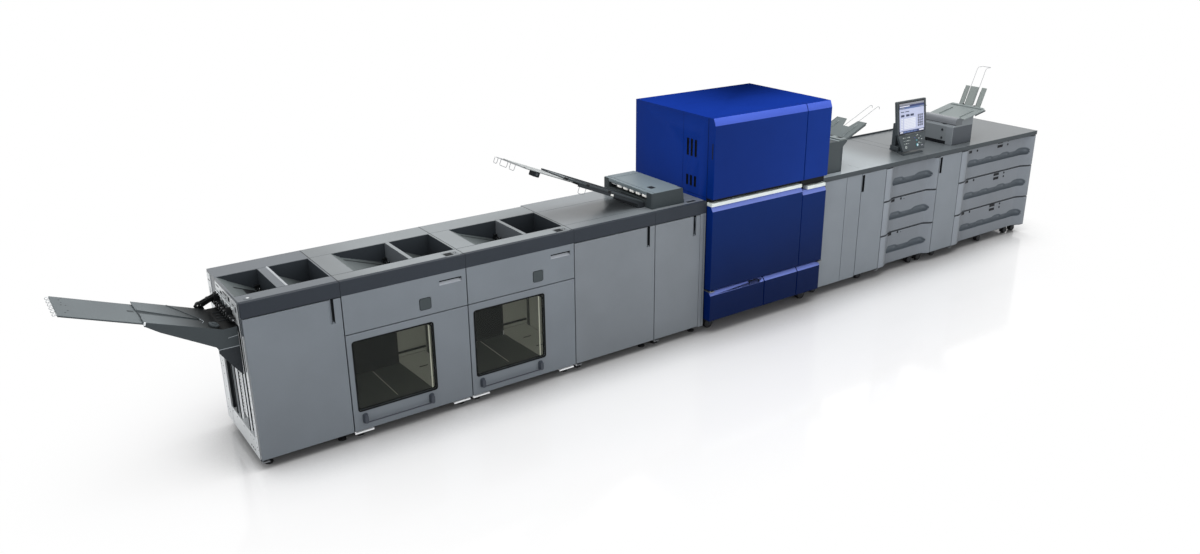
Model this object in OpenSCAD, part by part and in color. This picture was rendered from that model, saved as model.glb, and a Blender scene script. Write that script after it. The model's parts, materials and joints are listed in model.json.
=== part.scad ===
// Digital production printer line: paper feeders, print engine, transport
// cabinets, two stackers and a finisher with its lift tray.
// Millimetres, +Z up, +X along the line towards the feeders, -Y is the operator side.
// The origin is the bottom centre of the whole line's box.

/* [Heights] */
// top of the finisher, stackers and transport cabinets
left_h = 1019; // [950:1:1100]
// underside of the finisher, stackers and transport cabinets
left_base = 54; // [40:1:90]
// height of the dark band along the left cabinets' top
band_h = 88; // [60:1:120]
// top of the feeder worktop
right_h = 997; // [930:1:1080]
// underside of the feeder cabinets
right_base = 75; // [50:1:100]
// thickness of the feeder worktop
worktop_t = 36; // [20:1:50]
// top of the print engine
engine_h = 1616; // [1500:1:1750]
// underside of the print engine
engine_base = 97; // [80:1:120]

/* [Widths] */
// width of the finisher
finisher_w = 546; // [480:1:620]
// width of one stacker
stacker_w = 785; // [740:1:860]
// width of the relay cabinet beside the stackers
relay_w = 667; // [600:1:740]
// width of the exit cabinet beside the engine
exit_w = 461; // [420:1:520]
// width of the print engine
engine_w = 1160; // [1080:1:1260]
// width of the bridge cabinet beside the engine
bridge_w = 783; // [740:1:840]
// width of the first feeder
feeder_a_w = 998; // [940:1:1080]
// width of the second feeder
feeder_b_w = 1115; // [1040:1:1200]

/* [Depths] */
// depth of the finisher and stackers
left_d = 658; // [620:1:740]
// depth of the relay and exit cabinets
relay_d = 681; // [640:1:760]
// depth of the feeder cabinets
right_d = 800; // [740:1:860]
// depth of the engine housing behind its doors
engine_d = 846; // [800:1:900]
// how far the engine doors stand out from the cabinet fronts
engine_reach = 65; // [50:1:90]
// thickness of a cabinet door or front panel
door_t = 24; // [18:1:28]
// thickness of a hollow cabinet's wall
wall_t = 25; // [16:1:30]

/* [Clearances] */
// gap between parts that rest against each other
seat = 0.3; // [0.2:0.05:0.5]
// gap behind a door or drawer that moves
run = 6; // [5:0.5:8]
// gap between a fixed front panel and its cabinet's side
joint_gap = 3; // [2:0.5:6]
// gap between neighbouring drawers
drawer_gap = 5; // [5:0.5:8]

/* [Finisher and stacker bins] */
// depth of the open bins in the tops
bin_depth = 200; // [180:5:240]
// front rim from the cabinet front to the bins
bin_front = 122; // [100:1:150]
// front to back size of a bin
bin_len = 362; // [300:1:400]
// finisher: left edge of the left bin
fin_bin_1 = 8; // [6:1:40]
// finisher: width of the left bin
fin_bin_1_w = 230; // [180:1:240]
// finisher: left edge of the right bin
fin_bin_2 = 303; // [290:1:320]
// finisher: width of the right bin
fin_bin_2_w = 232; // [180:1:236]
// stacker: left edge of the left bin
st_bin_1 = 131; // [110:1:150]
// stacker: width of the left bin
st_bin_1_w = 345; // [300:1:350]
// stacker: left edge of the right bin
st_bin_2 = 502; // [496:1:520]
// stacker: width of the right bin
st_bin_2_w = 270; // [240:1:276]
// upper edge of a left bin's ramp below the rim
ramp_top = 3; // [2:1:10]
// distance of the ramp's knee from the bin's left edge
ramp_knee_x = 52; // [30:1:80]
// knee of the ramp below the rim
ramp_knee = 35; // [20:1:60]
// lower edge of the ramp below the rim
ramp_foot = 132; // [100:1:150]
// upper edge of a right bin's sloped floor below the rim
floor_high = 44; // [30:1:60]
// lower edge of a right bin's sloped floor below the rim
floor_low = 159; // [120:1:170]

/* [Slot handles] */
// width of an upright slot handle
slot_w = 30; // [20:1:40]
// height of an upright slot handle
slot_h = 150; // [120:1:180]
// depth of an upright slot handle
slot_d = 14; // [8:1:18]
// slot handle's centre from the door's free edge
slot_in = 58; // [40:1:80]

/* [Stacker front] */
// height of the seam between door and upper panel
st_split = 688; // [640:1:720]
// window's left edge from the stacker's left side
win_x = 33; // [30:1:60]
// width of the window
win_w = 516; // [440:1:560]
// bottom of the window
win_z = 183; // [160:1:220]
// height of the window
win_h = 457; // [380:1:470]
// corner radius of the window
win_r = 18; // [8:1:30]
// thickness of the glass
glass_t = 6; // [4:0.5:8]
// ledge that holds the glass, round the opening
glass_ledge = 9; // [6:1:14]
// left edge of the recessed grip from the stacker's left side
grip_x = 604; // [540:1:620]
// bottom of the recessed grip
grip_z = 857; // [830:1:870]
// width of the recessed grip on the upper panel
grip_w = 148; // [120:1:180]
// height of the recessed grip on the upper panel
grip_h = 30; // [20:1:40]
// depth of the recessed grip on the upper panel
grip_d = 16; // [10:1:20]
// left edge of the release button from the stacker's left side
button_x = 467; // [400:1:480]
// bottom of the release button
button_z = 725; // [710:1:740]
// side of the square release button
button_s = 78; // [60:1:90]
// left edge of the pull bar from the stacker's left side
pull_x = 54; // [30:1:80]
// length of the pull bar with its brackets
pull_w = 466; // [400:1:500]
// underside of the pull bar's brackets
pull_z = 104; // [90:1:115]
// width of one of the pull bar's brackets
pull_foot = 36; // [24:1:48]
// height of the pull bar's brackets
pull_h = 64; // [50:1:80]
// how far the pull bar stands off the door
pull_off = 30; // [20:1:45]
// height of the stacking platform above the stacker's floor
platform_z = 70; // [30:1:420]

/* [Engine front] */
// width of the engine's wide left doors
eng_door_w = 898; // [860:1:920]
// bottom of the upper doors
eng_upper_z = 1040; // [1020:1:1080]
// top of the lower doors
eng_lower_top = 1010; // [990:1:1016]
// bottom of the lower doors
eng_lower_z = 350; // [320:1:400]
// top of the base covers
eng_cover_top = 333; // [300:1:340]
// bottom of the base covers
eng_cover_z = 107; // [99:1:130]
// height of the silver grip strip
strip_h = 27; // [20:1:34]
// height of the sloped top edge of doors and covers
slope_h = 32; // [20:1:50]
// depth of the sloped top edge of doors and covers
slope_d = 20; // [10:1:30]
// width of the first base cover
cover_1_w = 537; // [480:1:560]
// width of the second base cover
cover_2_w = 344; // [300:1:360]

/* [Feeder drawers] */
// height of the seam between top and middle drawers
drawer_seam_1 = 666; // [620:1:700]
// height of the seam between middle and bottom drawers
drawer_seam_2 = 363; // [330:1:400]
// width of the first feeder's drawers
drawer_a_w = 689; // [640:1:720]
// depth of the scooped drawer faces
scoop_d = 40; // [20:1:44]
// thickness of a drawer's face at the bottom of the scoop
face_t = 14; // [10:1:20]
// length of a drawer's box behind the face
drawer_len = 560; // [480:1:600]
// travel of a drawer
drawer_travel = 480; // [400:1:520]
// wall thickness of a drawer's box
box_t = 8; // [5:0.5:12]
// drawer's box above the underside of its face
box_lift = 40; // [30:1:50]
// rim of a drawer's box below the top of its face
box_drop = 45; // [40:1:80]
// width of a drawer runner
runner_w = 16; // [10:1:20]
// height of a drawer runner
runner_h = 40; // [30:1:60]

/* [Bridge] */
// width of the bridge's first fixed panel
bridge_p1 = 307; // [280:1:330]
// width of the bridge's second fixed panel
bridge_p2 = 179; // [160:1:200]

/* [Finisher tray] */
// slope of the tray
tray_slope = 20.3; // [15:0.1:25]
// height of the tray's root
tray_z = 864; // [820:1:880]
// root of the sloped part from the finisher's side
tray_root = 83; // [70:1:100]
// front edge of the tray
tray_y = 85; // [70:1:120]
// width of the tray, front to back
tray_w = 345; // [300:1:380]
// length of the sloped main section
tray_len = 392; // [340:1:420]
// visible length of the extension
tray_ext = 392; // [200:1:400]
// travel of the extension
ext_travel = 280; // [200:1:300]
// thickness of the tray plates
tray_t = 10; // [6:0.5:14]
// travel of the lift tray
lift_travel = 400; // [300:1:440]

/* [Output unit on the transport cabinets] */
// left side from the exit cabinet's left side
out_x = 15; // [5:1:30]
// width of the unit
out_w = 277; // [240:1:310]
// front of the unit
out_y = 65; // [50:1:90]
// depth of the unit
out_d = 570; // [500:1:600]
// height of the unit
out_h = 111; // [90:1:130]
// slope of its tray
out_slope = 23; // [15:0.5:28]
// length of the tray's main section
out_tray_len = 700; // [600:1:760]
// length of the slim extension that shows
out_ext_len = 320; // [200:1:360]
// front to back size of its tray
out_tray_w = 300; // [260:1:340]

/* [Bypass stand] */
// front of the stand
stand_y = 60; // [50:1:90]
// width of the stand beside the engine
stand_w = 296; // [260:1:320]
// height of the stand
stand_h = 200; // [180:1:240]
// depth of the stand
stand_d = 320; // [300:1:360]
// slope of the bypass tray
bypass_slope = 23.4; // [15:0.1:30]
// length of the bypass tray
bypass_len = 246; // [220:1:280]
// front to back size of the bypass tray
bypass_w = 310; // [290:1:320]

/* [Control panel] */
// left edge of the panel from the first feeder's left side
panel_x = 265; // [200:1:320]
// width of the panel
panel_w = 374; // [340:1:400]
// height of the screen part
screen_h = 282; // [250:1:300]
// height of the key part
keys_h = 145; // [120:1:160]
// thickness of the panel
panel_t = 26; // [20:1:34]
// tilt of the screen part at rest
panel_lean = 8; // [4:1:15]

/* [Top feeder on the second feeder] */
// left side from the second feeder's left side
mbf_in = 48; // [30:1:60]
// front of the unit
mbf_y = 88; // [70:1:110]
// width of the unit
mbf_w = 275; // [240:1:300]
// depth of the unit
mbf_d = 352; // [320:1:380]
// height of the unit's body
mbf_h = 168; // [150:1:190]

/* [Feet] */
// diameter of a levelling foot
foot_d = 60; // [40:1:70]
// height of a foot's pad
foot_pad = 14; // [10:1:20]
// diameter of a caster wheel
wheel_d = 62; // [50:1:70]
// width of a caster wheel
wheel_w = 24; // [18:1:30]

/* [Part] */
// which node to draw

/* [Hidden] */
$fn = 48;
x_fin = 0;
x_st1 = x_fin + finisher_w;
x_st2 = x_st1 + stacker_w;
x_rel = x_st2 + stacker_w;
x_exit = x_rel + relay_w;
x_eng = x_exit + exit_w;
x_bri = x_eng + engine_w;
x_fda = x_bri + bridge_w;
x_fdb = x_fda + feeder_a_w;
x_end = x_fdb + feeder_b_w;
front_y = door_t + run;           // face of the cabinets behind their doors
sill = 8;                         // lift of the doors over the cabinets' undersides
left_door_z = left_base + sill;   // underside of the left cabinets' doors
right_door_z = right_base + sill; // underside of the right cabinets' doors
band_z = left_h - band_h;         // underside of the dark band
door_top = band_z - run;          // top of the left cabinets' doors
bin_z = left_h - bin_depth;       // floor of the bins
bin_y1 = bin_front + bin_len;     // rear edge of the bins
slab_z = right_h - worktop_t;     // underside of the worktop
slab_over = 5;                    // worktop's overhang
eng_y0 = 7;                       // front of the engine housing
eng_y1 = eng_y0 + engine_d;       // rear of the engine housing
loop_d = 5;                       // wire of the tray loops
tip_reach = 22;                   // wire loops beyond the extension's tip
loop_r = (tip_reach + loop_d) / 2;
x_min = -(tray_root + (tray_len + tray_ext + seat + loop_r) * cos(tray_slope)
          + (1.5 * tray_t + seat) * sin(tray_slope) + loop_r);
x_max = x_end + slab_over;
org = [(x_min + x_max) / 2, (eng_y1 - engine_reach) / 2, 0];

// ---------- shared shapes ----------
module block(x0, x1, y0, y1, z0, z1) {
  translate([x0, y0, z0]) cube([x1 - x0, y1 - y0, z1 - z0]);
}

// a profile drawn in XZ and carried from y0 to y1
module slice(pts, y0, y1) {
  translate([0, y1, 0]) rotate([90, 0, 0]) linear_extrude(y1 - y0) polygon(pts);
}

// upright slot with round ends, cut into a front face at y = 0
module upright_slot(xc, z0, h) {
  for (z = [z0 + slot_w / 2, z0 + h - slot_w / 2])
    translate([xc, -1, z]) rotate([-90, 0, 0]) cylinder(d = slot_w, h = slot_d + 1);
  block(xc - slot_w / 2, xc + slot_w / 2, -1, slot_d, z0 + slot_w / 2, z0 + h - slot_w / 2);
}

// rounded rectangle in XZ, from y0 to y1
module pane(x0, w, z0, h, r, y0, y1) {
  for (x = [x0 + r, x0 + w - r], z = [z0 + r, z0 + h - r])
    translate([x, y0, z]) rotate([-90, 0, 0]) cylinder(r = r, h = y1 - y0);
  block(x0 + r, x0 + w - r, y0, y1, z0, z0 + h);
  block(x0, x0 + w, y0, y1, z0 + r, z0 + h - r);
}

// hinged front door with a slot handle; side = 1 puts the handle at the right
module slot_door(x0, x1, z0, z1, side) {
  xc = side > 0 ? x1 - slot_in : x0 + slot_in;
  difference() {
    block(x0, x1, 0, door_t, z0, z1);
    upright_slot(xc, z1 - slot_h, slot_h + slot_w);
  }
}

plate_w = 44;                     // width of a hinge plate
plate_t = 6;                      // thickness of a hinge plate
pin_d = 8;                        // pivot pin of a door
// plate that carries a door on a pivot pin: xh, yh is the pin, dir the side that the plate lies on,
// z its top and zd the door's underside
module hinge_plate(xh, yh, dir, y1, z, zd) {
  x0 = dir > 0 ? xh - pin_d / 2 : xh + pin_d / 2 - plate_w;
  block(x0, x0 + plate_w, yh - pin_d / 2, y1, z - plate_t, z);
  translate([xh, yh, z - 1]) cylinder(d = pin_d, h = zd - seat - z + 1);
}

module door_hinges() color("#55595d") {
  for (x = [x_fin, x_st1, x_st2, x_rel, x_exit])
    hinge_plate(x + joint_gap, 0, 1, front_y + 10, left_base - seat, left_door_z);
  for (x = [x_fda, x_fdb])
    hinge_plate(x - side_gap, 0, -1, front_y + 10, right_base - seat, right_door_z);
  zp = eng_lower_z - seat - sill;
  hinge_plate(x_eng + 2, eng_yf, 1, eng_y0 - seat, zp, eng_lower_z);
  hinge_plate(x_bri - 2, eng_yf, -1, eng_y0 - seat, zp, eng_lower_z);
}

side_gap = 4;                     // gap at the hinged edge of the right cabinets' doors
eng_yf = -engine_reach;           // front plane of the engine's doors

// ---------- finisher ----------
side_d = 58;                      // depth of the open bay in the finisher's left side
post_w = [40, 112];               // widths of the front and rear posts of that bay
cross_h = 116;                    // height of the plate between the posts
module finisher_body() color("#767d84")
  block(x_fin + side_d, x_st1 - seat, front_y, left_d, left_base, bin_z - seat);

module finisher_side_frame() color("#c9cdd0") {
  block(x_fin, x_fin + side_d - seat, front_y, front_y + post_w[0], left_base, bin_z - seat);
  block(x_fin, x_fin + side_d - seat, left_d - post_w[1], left_d, left_base, bin_z - seat);
  block(x_fin, x_fin + side_d - seat, front_y + post_w[0] + seat, left_d - post_w[1] - seat,
        left_base, left_base + cross_h);
}

rail_w = 18;                      // width of a lift rail
rail_d = 15;                      // depth of a lift rail
rail_x = 6;                       // face of the rails from the finisher's side
rail_gap = [349, 172, 93, 7];     // free width between each rail and the rear post
rail_y = [for (g = rail_gap) left_d - post_w[1] - g - rail_w / 2];  // rail centres
module finisher_lift_rails() color("#d8dbdd")
  for (y = rail_y)
    block(x_fin + rail_x, x_fin + rail_x + rail_d, y - rail_w / 2, y + rail_w / 2,
          left_base + cross_h + seat, bin_z - seat);

// rim pieces that leave two open bins in a top
module bin_rims(x0, x1, b1, w1, b2, w2, depth) {
  z0 = bin_z;
  block(x0, x1, front_y, bin_front - seat, z0, left_h);
  block(x0, x1, bin_y1 + seat, depth, z0, left_h);
  block(x0, b1, bin_front, bin_y1, z0, left_h);
  block(b1 + w1, b2, bin_front, bin_y1, z0, left_h);
  block(b2 + w2, x1, bin_front, bin_y1, z0, left_h);
}

module finisher_top() color("#8b9197")
  bin_rims(x_fin, x_st1 - seat, x_fin + fin_bin_1, fin_bin_1_w, x_fin + fin_bin_2,
           fin_bin_2_w, left_d);

// wedge between x0 and x1 in a bin, its top h0 and h1 below the rim
module wedge(x0, x1, h0, h1)
  slice([[x0, bin_z], [x1, bin_z], [x1, left_h - h1], [x0, left_h - h0]],
        bin_front + seat, bin_y1 - seat);
// ramp of a left bin: a short steep start at the rim, then an even slope
module bin_ramp(x0, w) {
  knee = x0 + ramp_knee_x;
  wedge(x0 + seat, knee, ramp_top, ramp_knee);
  wedge(knee + seat, x0 + w - seat, ramp_knee, ramp_foot);
}
module bin_ramps() color("#7d8586") {
  bin_ramp(x_fin + fin_bin_1, fin_bin_1_w);
  for (x = [x_st1, x_st2]) bin_ramp(x + st_bin_1, st_bin_1_w);
  for (b = [[x_fin + fin_bin_2, fin_bin_2_w], [x_st1 + st_bin_2, st_bin_2_w]])
    wedge(b[0] + seat, b[0] + b[1] - seat, floor_high, floor_low);
}

module finisher_door() color("#767d84")
  slot_door(x_fin + joint_gap, x_st1 - joint_gap, left_door_z, door_top, 1);

// sloped part of the tray: u runs up the slope from the root
module on_slope() {
  translate([x_fin - tray_root, 0, tray_z]) rotate([0, tray_slope, 0]) children();
}

car_x = 6;                        // tray carriage from the finisher's side
gusset_h = 289;                   // height of the carriage's brackets
skirt_h = 26;                     // skirt at the main section's tip
ext_in = 18;                      // extension's edges inside the tray's
gusset_knee = [118, 116];         // knee of the brackets: from the finisher's side, below the tray
gusset_nose = [129, 91];          // nose of the brackets over the knee
module finisher_tray() color("#4d5357") {
  c = cos(tray_slope);
  s = sin(tray_slope);
  xr = x_fin - tray_root;
  xt = xr - tray_len * c;
  zt = tray_z + tray_len * s;
  slice([[xt, zt], [xr, tray_z], [x_fin - car_x, tray_z], [x_fin - car_x, tray_z - tray_t],
         [xr - tray_t * tan(tray_slope / 2), tray_z - tray_t],
         [xt - tray_t * s, zt - tray_t * c]], tray_y, tray_y + tray_w);
  for (y = [tray_y, tray_y + tray_w - tray_t])
    slice([[xt + 2, zt - tray_t / 2], [xr, tray_z - tray_t / 2],
           [x_fin - car_x - 1, tray_z - tray_t / 2], [x_fin - car_x - 1, tray_z - gusset_h],
           [x_fin - gusset_knee[0], tray_z - gusset_knee[1]],
           [x_fin - gusset_nose[0], tray_z - gusset_nose[1]],
           [xt + 65, zt - 76], [xt + 2, zt - skirt_h]], y, y + tray_t);
  block(x_fin - 40, x_fin - car_x - 0.5, tray_y + 1, tray_y + tray_w - 1, tray_z - 150,
        tray_z - 2);
  for (y = [tray_y + tray_t - 1, tray_y + tray_w - tray_t - ext_in + 1])
    on_slope() translate([-tray_len + 3, y, -2 * tray_t - 2 * seat - 5])
      cube([tray_len - 23, ext_in, 5]);
  for (y = rail_y) if (y > tray_y + 20 && y < tray_y + tray_w - 20)
    block(x_fin - car_x - 1, x_fin + rail_x - seat, y - rail_w / 2, y + rail_w / 2,
          tray_z - 140, tray_z - 100);
}

ext_lap = 70;                     // part of the extension under the main section
module finisher_tray_extension() color("#6f7679")
  on_slope() translate([-tray_len - tray_ext, tray_y + ext_in, -2 * tray_t - seat])
    cube([tray_ext + ext_lap, tray_w - 2 * ext_in, tray_t]);

module finisher_tray_loops() color("#c4c8ca")
  on_slope() for (i = [0:4])
    translate([-tray_len - tray_ext - seat - loop_r,
               tray_y + ext_in + 30 + i * (tray_w - 2 * ext_in - 60) / 4,
               -1.5 * tray_t - seat])
      rotate([90, 0, 0]) rotate_extrude() translate([tip_reach / 2, 0]) circle(d = loop_d);

lever_z = 925;                    // height of the exit lever's root
lever_y = tray_y + tray_w + 20;   // front of the lever, behind the tray
lever_t = 12;                     // thickness of the lever
module finisher_exit_lever() color("#2a2d30") translate([x_fin, 0, lever_z])
  slice([[-seat, -22], [-seat, 22], [-60, 0], [-128, -25], [-140, -40], [-132, -59],
         [-112, -63], [-50, -35]], lever_y, lever_y + lever_t);

// ---------- bands ----------
module front_bands() color("#3f444b") {
  xs = [x_fin, x_st1, x_st2, x_rel, x_exit, x_eng];
  for (i = [0:4])
    block(xs[i] + (i == 0 ? 0 : seat), xs[i + 1] - seat, 0, front_y - seat, band_z, left_h);
}

// ---------- stackers ----------
module stacker_body(x) color("#6d7270") {
  zc = st_split + run / 2;
  block(x + joint_gap, x + joint_gap + wall_t, front_y, left_d, left_base, zc - seat);
  block(x + stacker_w - joint_gap - wall_t, x + stacker_w - joint_gap, front_y, left_d,
        left_base, zc - seat);
  block(x + joint_gap + wall_t + seat, x + stacker_w - joint_gap - wall_t - seat,
        left_d - wall_t, left_d, left_base, zc - seat);
  block(x + joint_gap + wall_t + seat, x + stacker_w - joint_gap - wall_t - seat,
        front_y, left_d - wall_t - seat, left_base, left_base + wall_t);
  block(x + joint_gap, x + stacker_w - joint_gap, front_y, left_d, zc, bin_z - seat);
}

module stacker_tops() color("#9aa0a5") for (x = [x_st1, x_st2])
  bin_rims(x + seat, x + stacker_w - seat, x + st_bin_1, st_bin_1_w, x + st_bin_2,
           st_bin_2_w, left_d);

module stacker_upper_panels() color("#787f86") for (x = [x_st1, x_st2]) difference() {
  block(x + joint_gap, x + stacker_w - joint_gap, 0, front_y - seat, st_split + run / 2,
        band_z - seat);
  block(x + grip_x, x + grip_x + grip_w, -1, grip_d, grip_z, grip_z + grip_h);
  block(x + button_x, x + button_x + button_s, -1, 3, button_z, button_z + button_s);
}

module stacker_door(x) color("#787f86") difference() {
  block(x + joint_gap, x + stacker_w - joint_gap, 0, door_t, left_door_z,
        st_split - run / 2);
  pane(x + win_x + glass_ledge, win_w - 2 * glass_ledge, win_z + glass_ledge,
       win_h - 2 * glass_ledge, win_r, -1, door_t + 1);
  pane(x + win_x, win_w, win_z, win_h, win_r, -1, glass_t + 2);
}

module stacker_window(x) color([0.3, 0.33, 0.32, 0.5])
  pane(x + win_x + seat, win_w - 2 * seat, win_z + seat, win_h - 2 * seat, win_r, 1,
       glass_t + 2 - seat);

module stacker_pull(x) color("#33373b") {
  x0 = x + pull_x;
  x1 = x0 + pull_w;
  for (xf = [x0, x1 - pull_foot])
    block(xf, xf + pull_foot, -pull_off, -seat, pull_z, pull_z + pull_h);
  translate([x0 + pull_foot - 1, 8 - pull_off, pull_z + 8]) rotate([0, 90, 0])
    cylinder(d = 10, h = pull_w - 2 * pull_foot + 2);
}

pillar = [300, 400, 200, 300];    // sides of the platform's pillar, from the left and the front
// platform on its pillar, and the posts that guide it
module stacker_lifts() color("#9ea29d") for (x = [x_st1, x_st2]) {
  z = left_base + wall_t + platform_z;
  xa = x + joint_gap + wall_t;
  xb = x + stacker_w - joint_gap - wall_t;
  zf = left_base + wall_t + seat;
  block(xa + 20, xb - 20, front_y + 30, left_d - wall_t - 30, z, z + 14);
  block(x + pillar[0], x + pillar[1], front_y + pillar[2], front_y + pillar[3], zf, z - seat);
  for (xp = [xa + seat + 2, xb - 16], y = [front_y + 60, left_d - wall_t - 90])
    block(xp, xp + 13, y, y + 26, zf, st_split - 4);
}

// ---------- relay and exit cabinets ----------
module relay_body() color("#767d84")
  block(x_rel + seat, x_exit - seat, front_y, relay_d, left_base, left_h);

module relay_door() color("#767d84")
  slot_door(x_rel + joint_gap, x_exit - joint_gap, left_door_z, door_top, 1);

exit_strip = 52;                  // fixed strip beside the engine
module exit_body() color("#767d84") {
  block(x_exit + seat, x_eng - seat, front_y, relay_d, left_base, left_h);
  block(x_eng - exit_strip, x_eng - joint_gap, 0, front_y - seat, left_base, band_z - seat);
}

module exit_door() color("#7b8289")
  slot_door(x_exit + joint_gap, x_eng - exit_strip - joint_gap, left_door_z, door_top, 1);

// ---------- output unit ----------
ox0 = x_exit + out_x;
oz0 = left_h + seat;
throat_z = 50;                    // underside of the exit throat above the cabinet top
throat_h = 38;                    // height of the exit throat
throat_d = 60;                    // depth of the exit throat
module output_unit() color("#5f6667") difference() {
  slice([[ox0, oz0], [ox0 + out_w + 16, oz0], [ox0 + out_w, oz0 + out_h], [ox0, oz0 + out_h]],
        out_y, out_y + out_d);
  block(ox0 - 1, ox0 + throat_d, out_y + 60, out_y + out_d - 60, oz0 + throat_z,
        oz0 + throat_z + throat_h);
}

roll_d = 24;                      // exit rollers
module output_rollers() color("#e8e8e6") for (i = [0:4])
  translate([ox0 + 18, 150 + i * 74, oz0 + throat_z + throat_h - roll_d / 2 - seat])
    rotate([-90, 0, 0]) cylinder(d = roll_d, h = 34);

out_root_z = 43;                  // tray root above the cabinet top
module on_out_slope() {
  translate([ox0 - seat - 4, 0, left_h + out_root_z]) rotate([0, out_slope, 0]) children();
}

out_tray_y = 140;                 // front edge of the tray
out_rail = 10;                    // width of the tray's side rails
out_short = 120;                  // the rails end before the tray's tip
module output_tray() color("#3c4144") {
  on_out_slope() {
    translate([-out_tray_len, out_tray_y, -12]) cube([out_tray_len, out_tray_w, 12]);
    for (y = [out_tray_y + 1, out_tray_y + out_tray_w - out_rail - 1])
      translate([-out_tray_len + out_short, y, -34])
        cube([out_tray_len - out_short - 1, out_rail, 30]);
  }
  block(ox0 - 60, ox0 - 1, out_tray_y + 2, out_tray_y + out_tray_w - 2, oz0,
        left_h + out_root_z - 8);
}

out_ext_in = 20;                  // extension's edges inside the tray's
out_ext_z = -20;                  // underside of the extension on the slope
module output_tray_extension() color("#9a9f9f") on_out_slope() {
  w = out_tray_w - 2 * out_ext_in;
  translate([-out_tray_len - out_ext_len, out_tray_y + out_ext_in, out_ext_z])
    cube([out_ext_len + 80, w, -12 - seat - out_ext_z]);
  translate([-out_tray_len - out_ext_len + 90, out_tray_y + out_ext_in, out_ext_z - 34])
    cube([48, 60, 35]);
}

// ---------- engine ----------
vent_y = [224, 182, 137];         // centres of the side vents
vent_z = [[181, 306], [446, 524]];  // rows of vents below the engine's top
module engine_body() color("#1d3a8c") difference() {
  block(x_eng + seat, x_bri - seat, eng_y0, eng_y1, engine_base, engine_h);
  for (y = vent_y) {
    for (v = vent_z) block(x_eng, x_eng + 14, y - 12, y + 12, engine_h - v[1], engine_h - v[0]);
  }
}

swing_ease = 12;                  // set-back of a thick door's rear free corner, for its swing
// door with a sloped top edge; side = 1 when the free edge is at the right
module sloped_door(x0, x1, z0, z1, sh, sd, side) {
  yr = eng_y0 - run;
  xf = side > 0 ? x1 : x0;
  difference() {
    rotate([90, 0, 90]) translate([0, 0, x0]) linear_extrude(x1 - x0)
      polygon([[eng_yf, z0], [yr, z0], [yr, z1], [eng_yf + sd, z1], [eng_yf, z1 - sh]]);
    translate([0, 0, z0 - 1]) linear_extrude(z1 - z0 + 2)
      polygon([[xf, eng_yf + 10], [xf - side * swing_ease, yr], [xf - side * swing_ease, yr + 1],
               [xf + side, yr + 1], [xf + side, eng_yf + 10]]);
  }
}

eng_split = x_eng + 2 + eng_door_w;  // right edge of the wide doors
side_x0 = eng_split + run;           // left edge of the narrow doors
top_drop = 50;                       // height of the upper doors' sloped top edge
module engine_upper_doors() color("#24439c") {
  for (c = [[x_eng + 2, eng_split], [side_x0, x_bri - 2]])
    rotate([90, 0, 90]) translate([0, 0, c[0]]) linear_extrude(c[1] - c[0])
      polygon([[eng_yf, eng_upper_z], [eng_y0 - seat, eng_upper_z], [eng_y0 - seat, engine_h],
               [eng_yf + slope_d, engine_h], [eng_yf, engine_h - top_drop]]);
}

lower_z1 = eng_lower_top - strip_h - seat;  // top of the lower door under its strip
module engine_lower_door() color("#1f3d92")
  sloped_door(x_eng + 2, eng_split, eng_lower_z, lower_z1, slope_h, slope_d, 1);

side_drop = 30;                   // the side door's strip lies lower
module engine_side_door() color("#1f3d92")
  sloped_door(side_x0, x_bri - 2, eng_lower_z, lower_z1 - side_drop, slope_h, slope_d, -1);

module engine_lower_strip() color("#cdd6d4")
  translate([0, 0, lower_z1 + seat]) linear_extrude(strip_h)
    polygon([[x_eng + 2, eng_yf + slope_d / 2], [eng_split, eng_yf + slope_d / 2],
             [eng_split - swing_ease, eng_y0 - run], [x_eng + 2, eng_y0 - run]]);

module engine_side_strip() color("#cdd6d4")
  block(eng_split + 63, x_bri - 2, eng_yf + slope_d / 2, eng_y0 - run,
        lower_z1 - side_drop + seat, lower_z1 - side_drop + seat + strip_h);

module engine_grip_channel() color("#15171a") {
  block(x_eng + 6, eng_split - 2, eng_yf + 30, eng_y0 - seat, eng_lower_top + run,
        eng_upper_z - seat);
  block(side_x0 + 2, x_bri - 6, eng_yf + 30, eng_y0 - seat,
        lower_z1 - side_drop + strip_h + run + seat, eng_upper_z - seat);
}

module engine_base_covers() color("#1f3d92") {
  x1 = x_eng + 6 + cover_1_w;
  x2 = x1 + 8 + cover_2_w;
  difference() {
    sloped_cover(x_eng + 6, x1);
    block(x1 - 145, x1 - 48, eng_yf - 1, eng_yf + 26, eng_cover_top - 24, eng_cover_top + 1);
  }
  sloped_cover(x1 + 8, x2);
  sloped_cover(x2 + 8, x_bri - 14);
}
module sloped_cover(x0, x1) {
  rotate([90, 0, 90]) translate([0, 0, x0]) linear_extrude(x1 - x0)
    polygon([[eng_yf, eng_cover_z], [eng_y0 - seat, eng_cover_z],
             [eng_y0 - seat, eng_cover_top], [eng_yf + slope_d, eng_cover_top],
             [eng_yf, eng_cover_top - 26]]);
}

// ---------- bridge ----------
module bridge_body() color("#848b92") {
  block(x_bri + seat, x_fda - seat, front_y, right_d, right_base, slab_z - seat);
  block(x_bri + joint_gap, x_bri + bridge_p1 - 2, 0, front_y - seat, right_base, slab_z - seat);
  block(x_bri + bridge_p1 + 2, x_bri + bridge_p1 + bridge_p2 - joint_gap, 0, front_y - seat,
        right_base, slab_z - seat);
}

front_top = slab_z - run;           // top of the feeders' doors and drawers
module bridge_door() color("#848b92")
  slot_door_low(x_bri + bridge_p1 + bridge_p2 - joint_gap + run, x_fda - side_gap);

// door whose slot handle lies at its left edge, a little under the top
module slot_door_low(x0, x1) {
  difference() {
    block(x0, x1, 0, door_t, right_door_z, front_top);
    upright_slot(x0 + 4 + slot_w / 2, front_top - 150, 136);
  }
}

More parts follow.
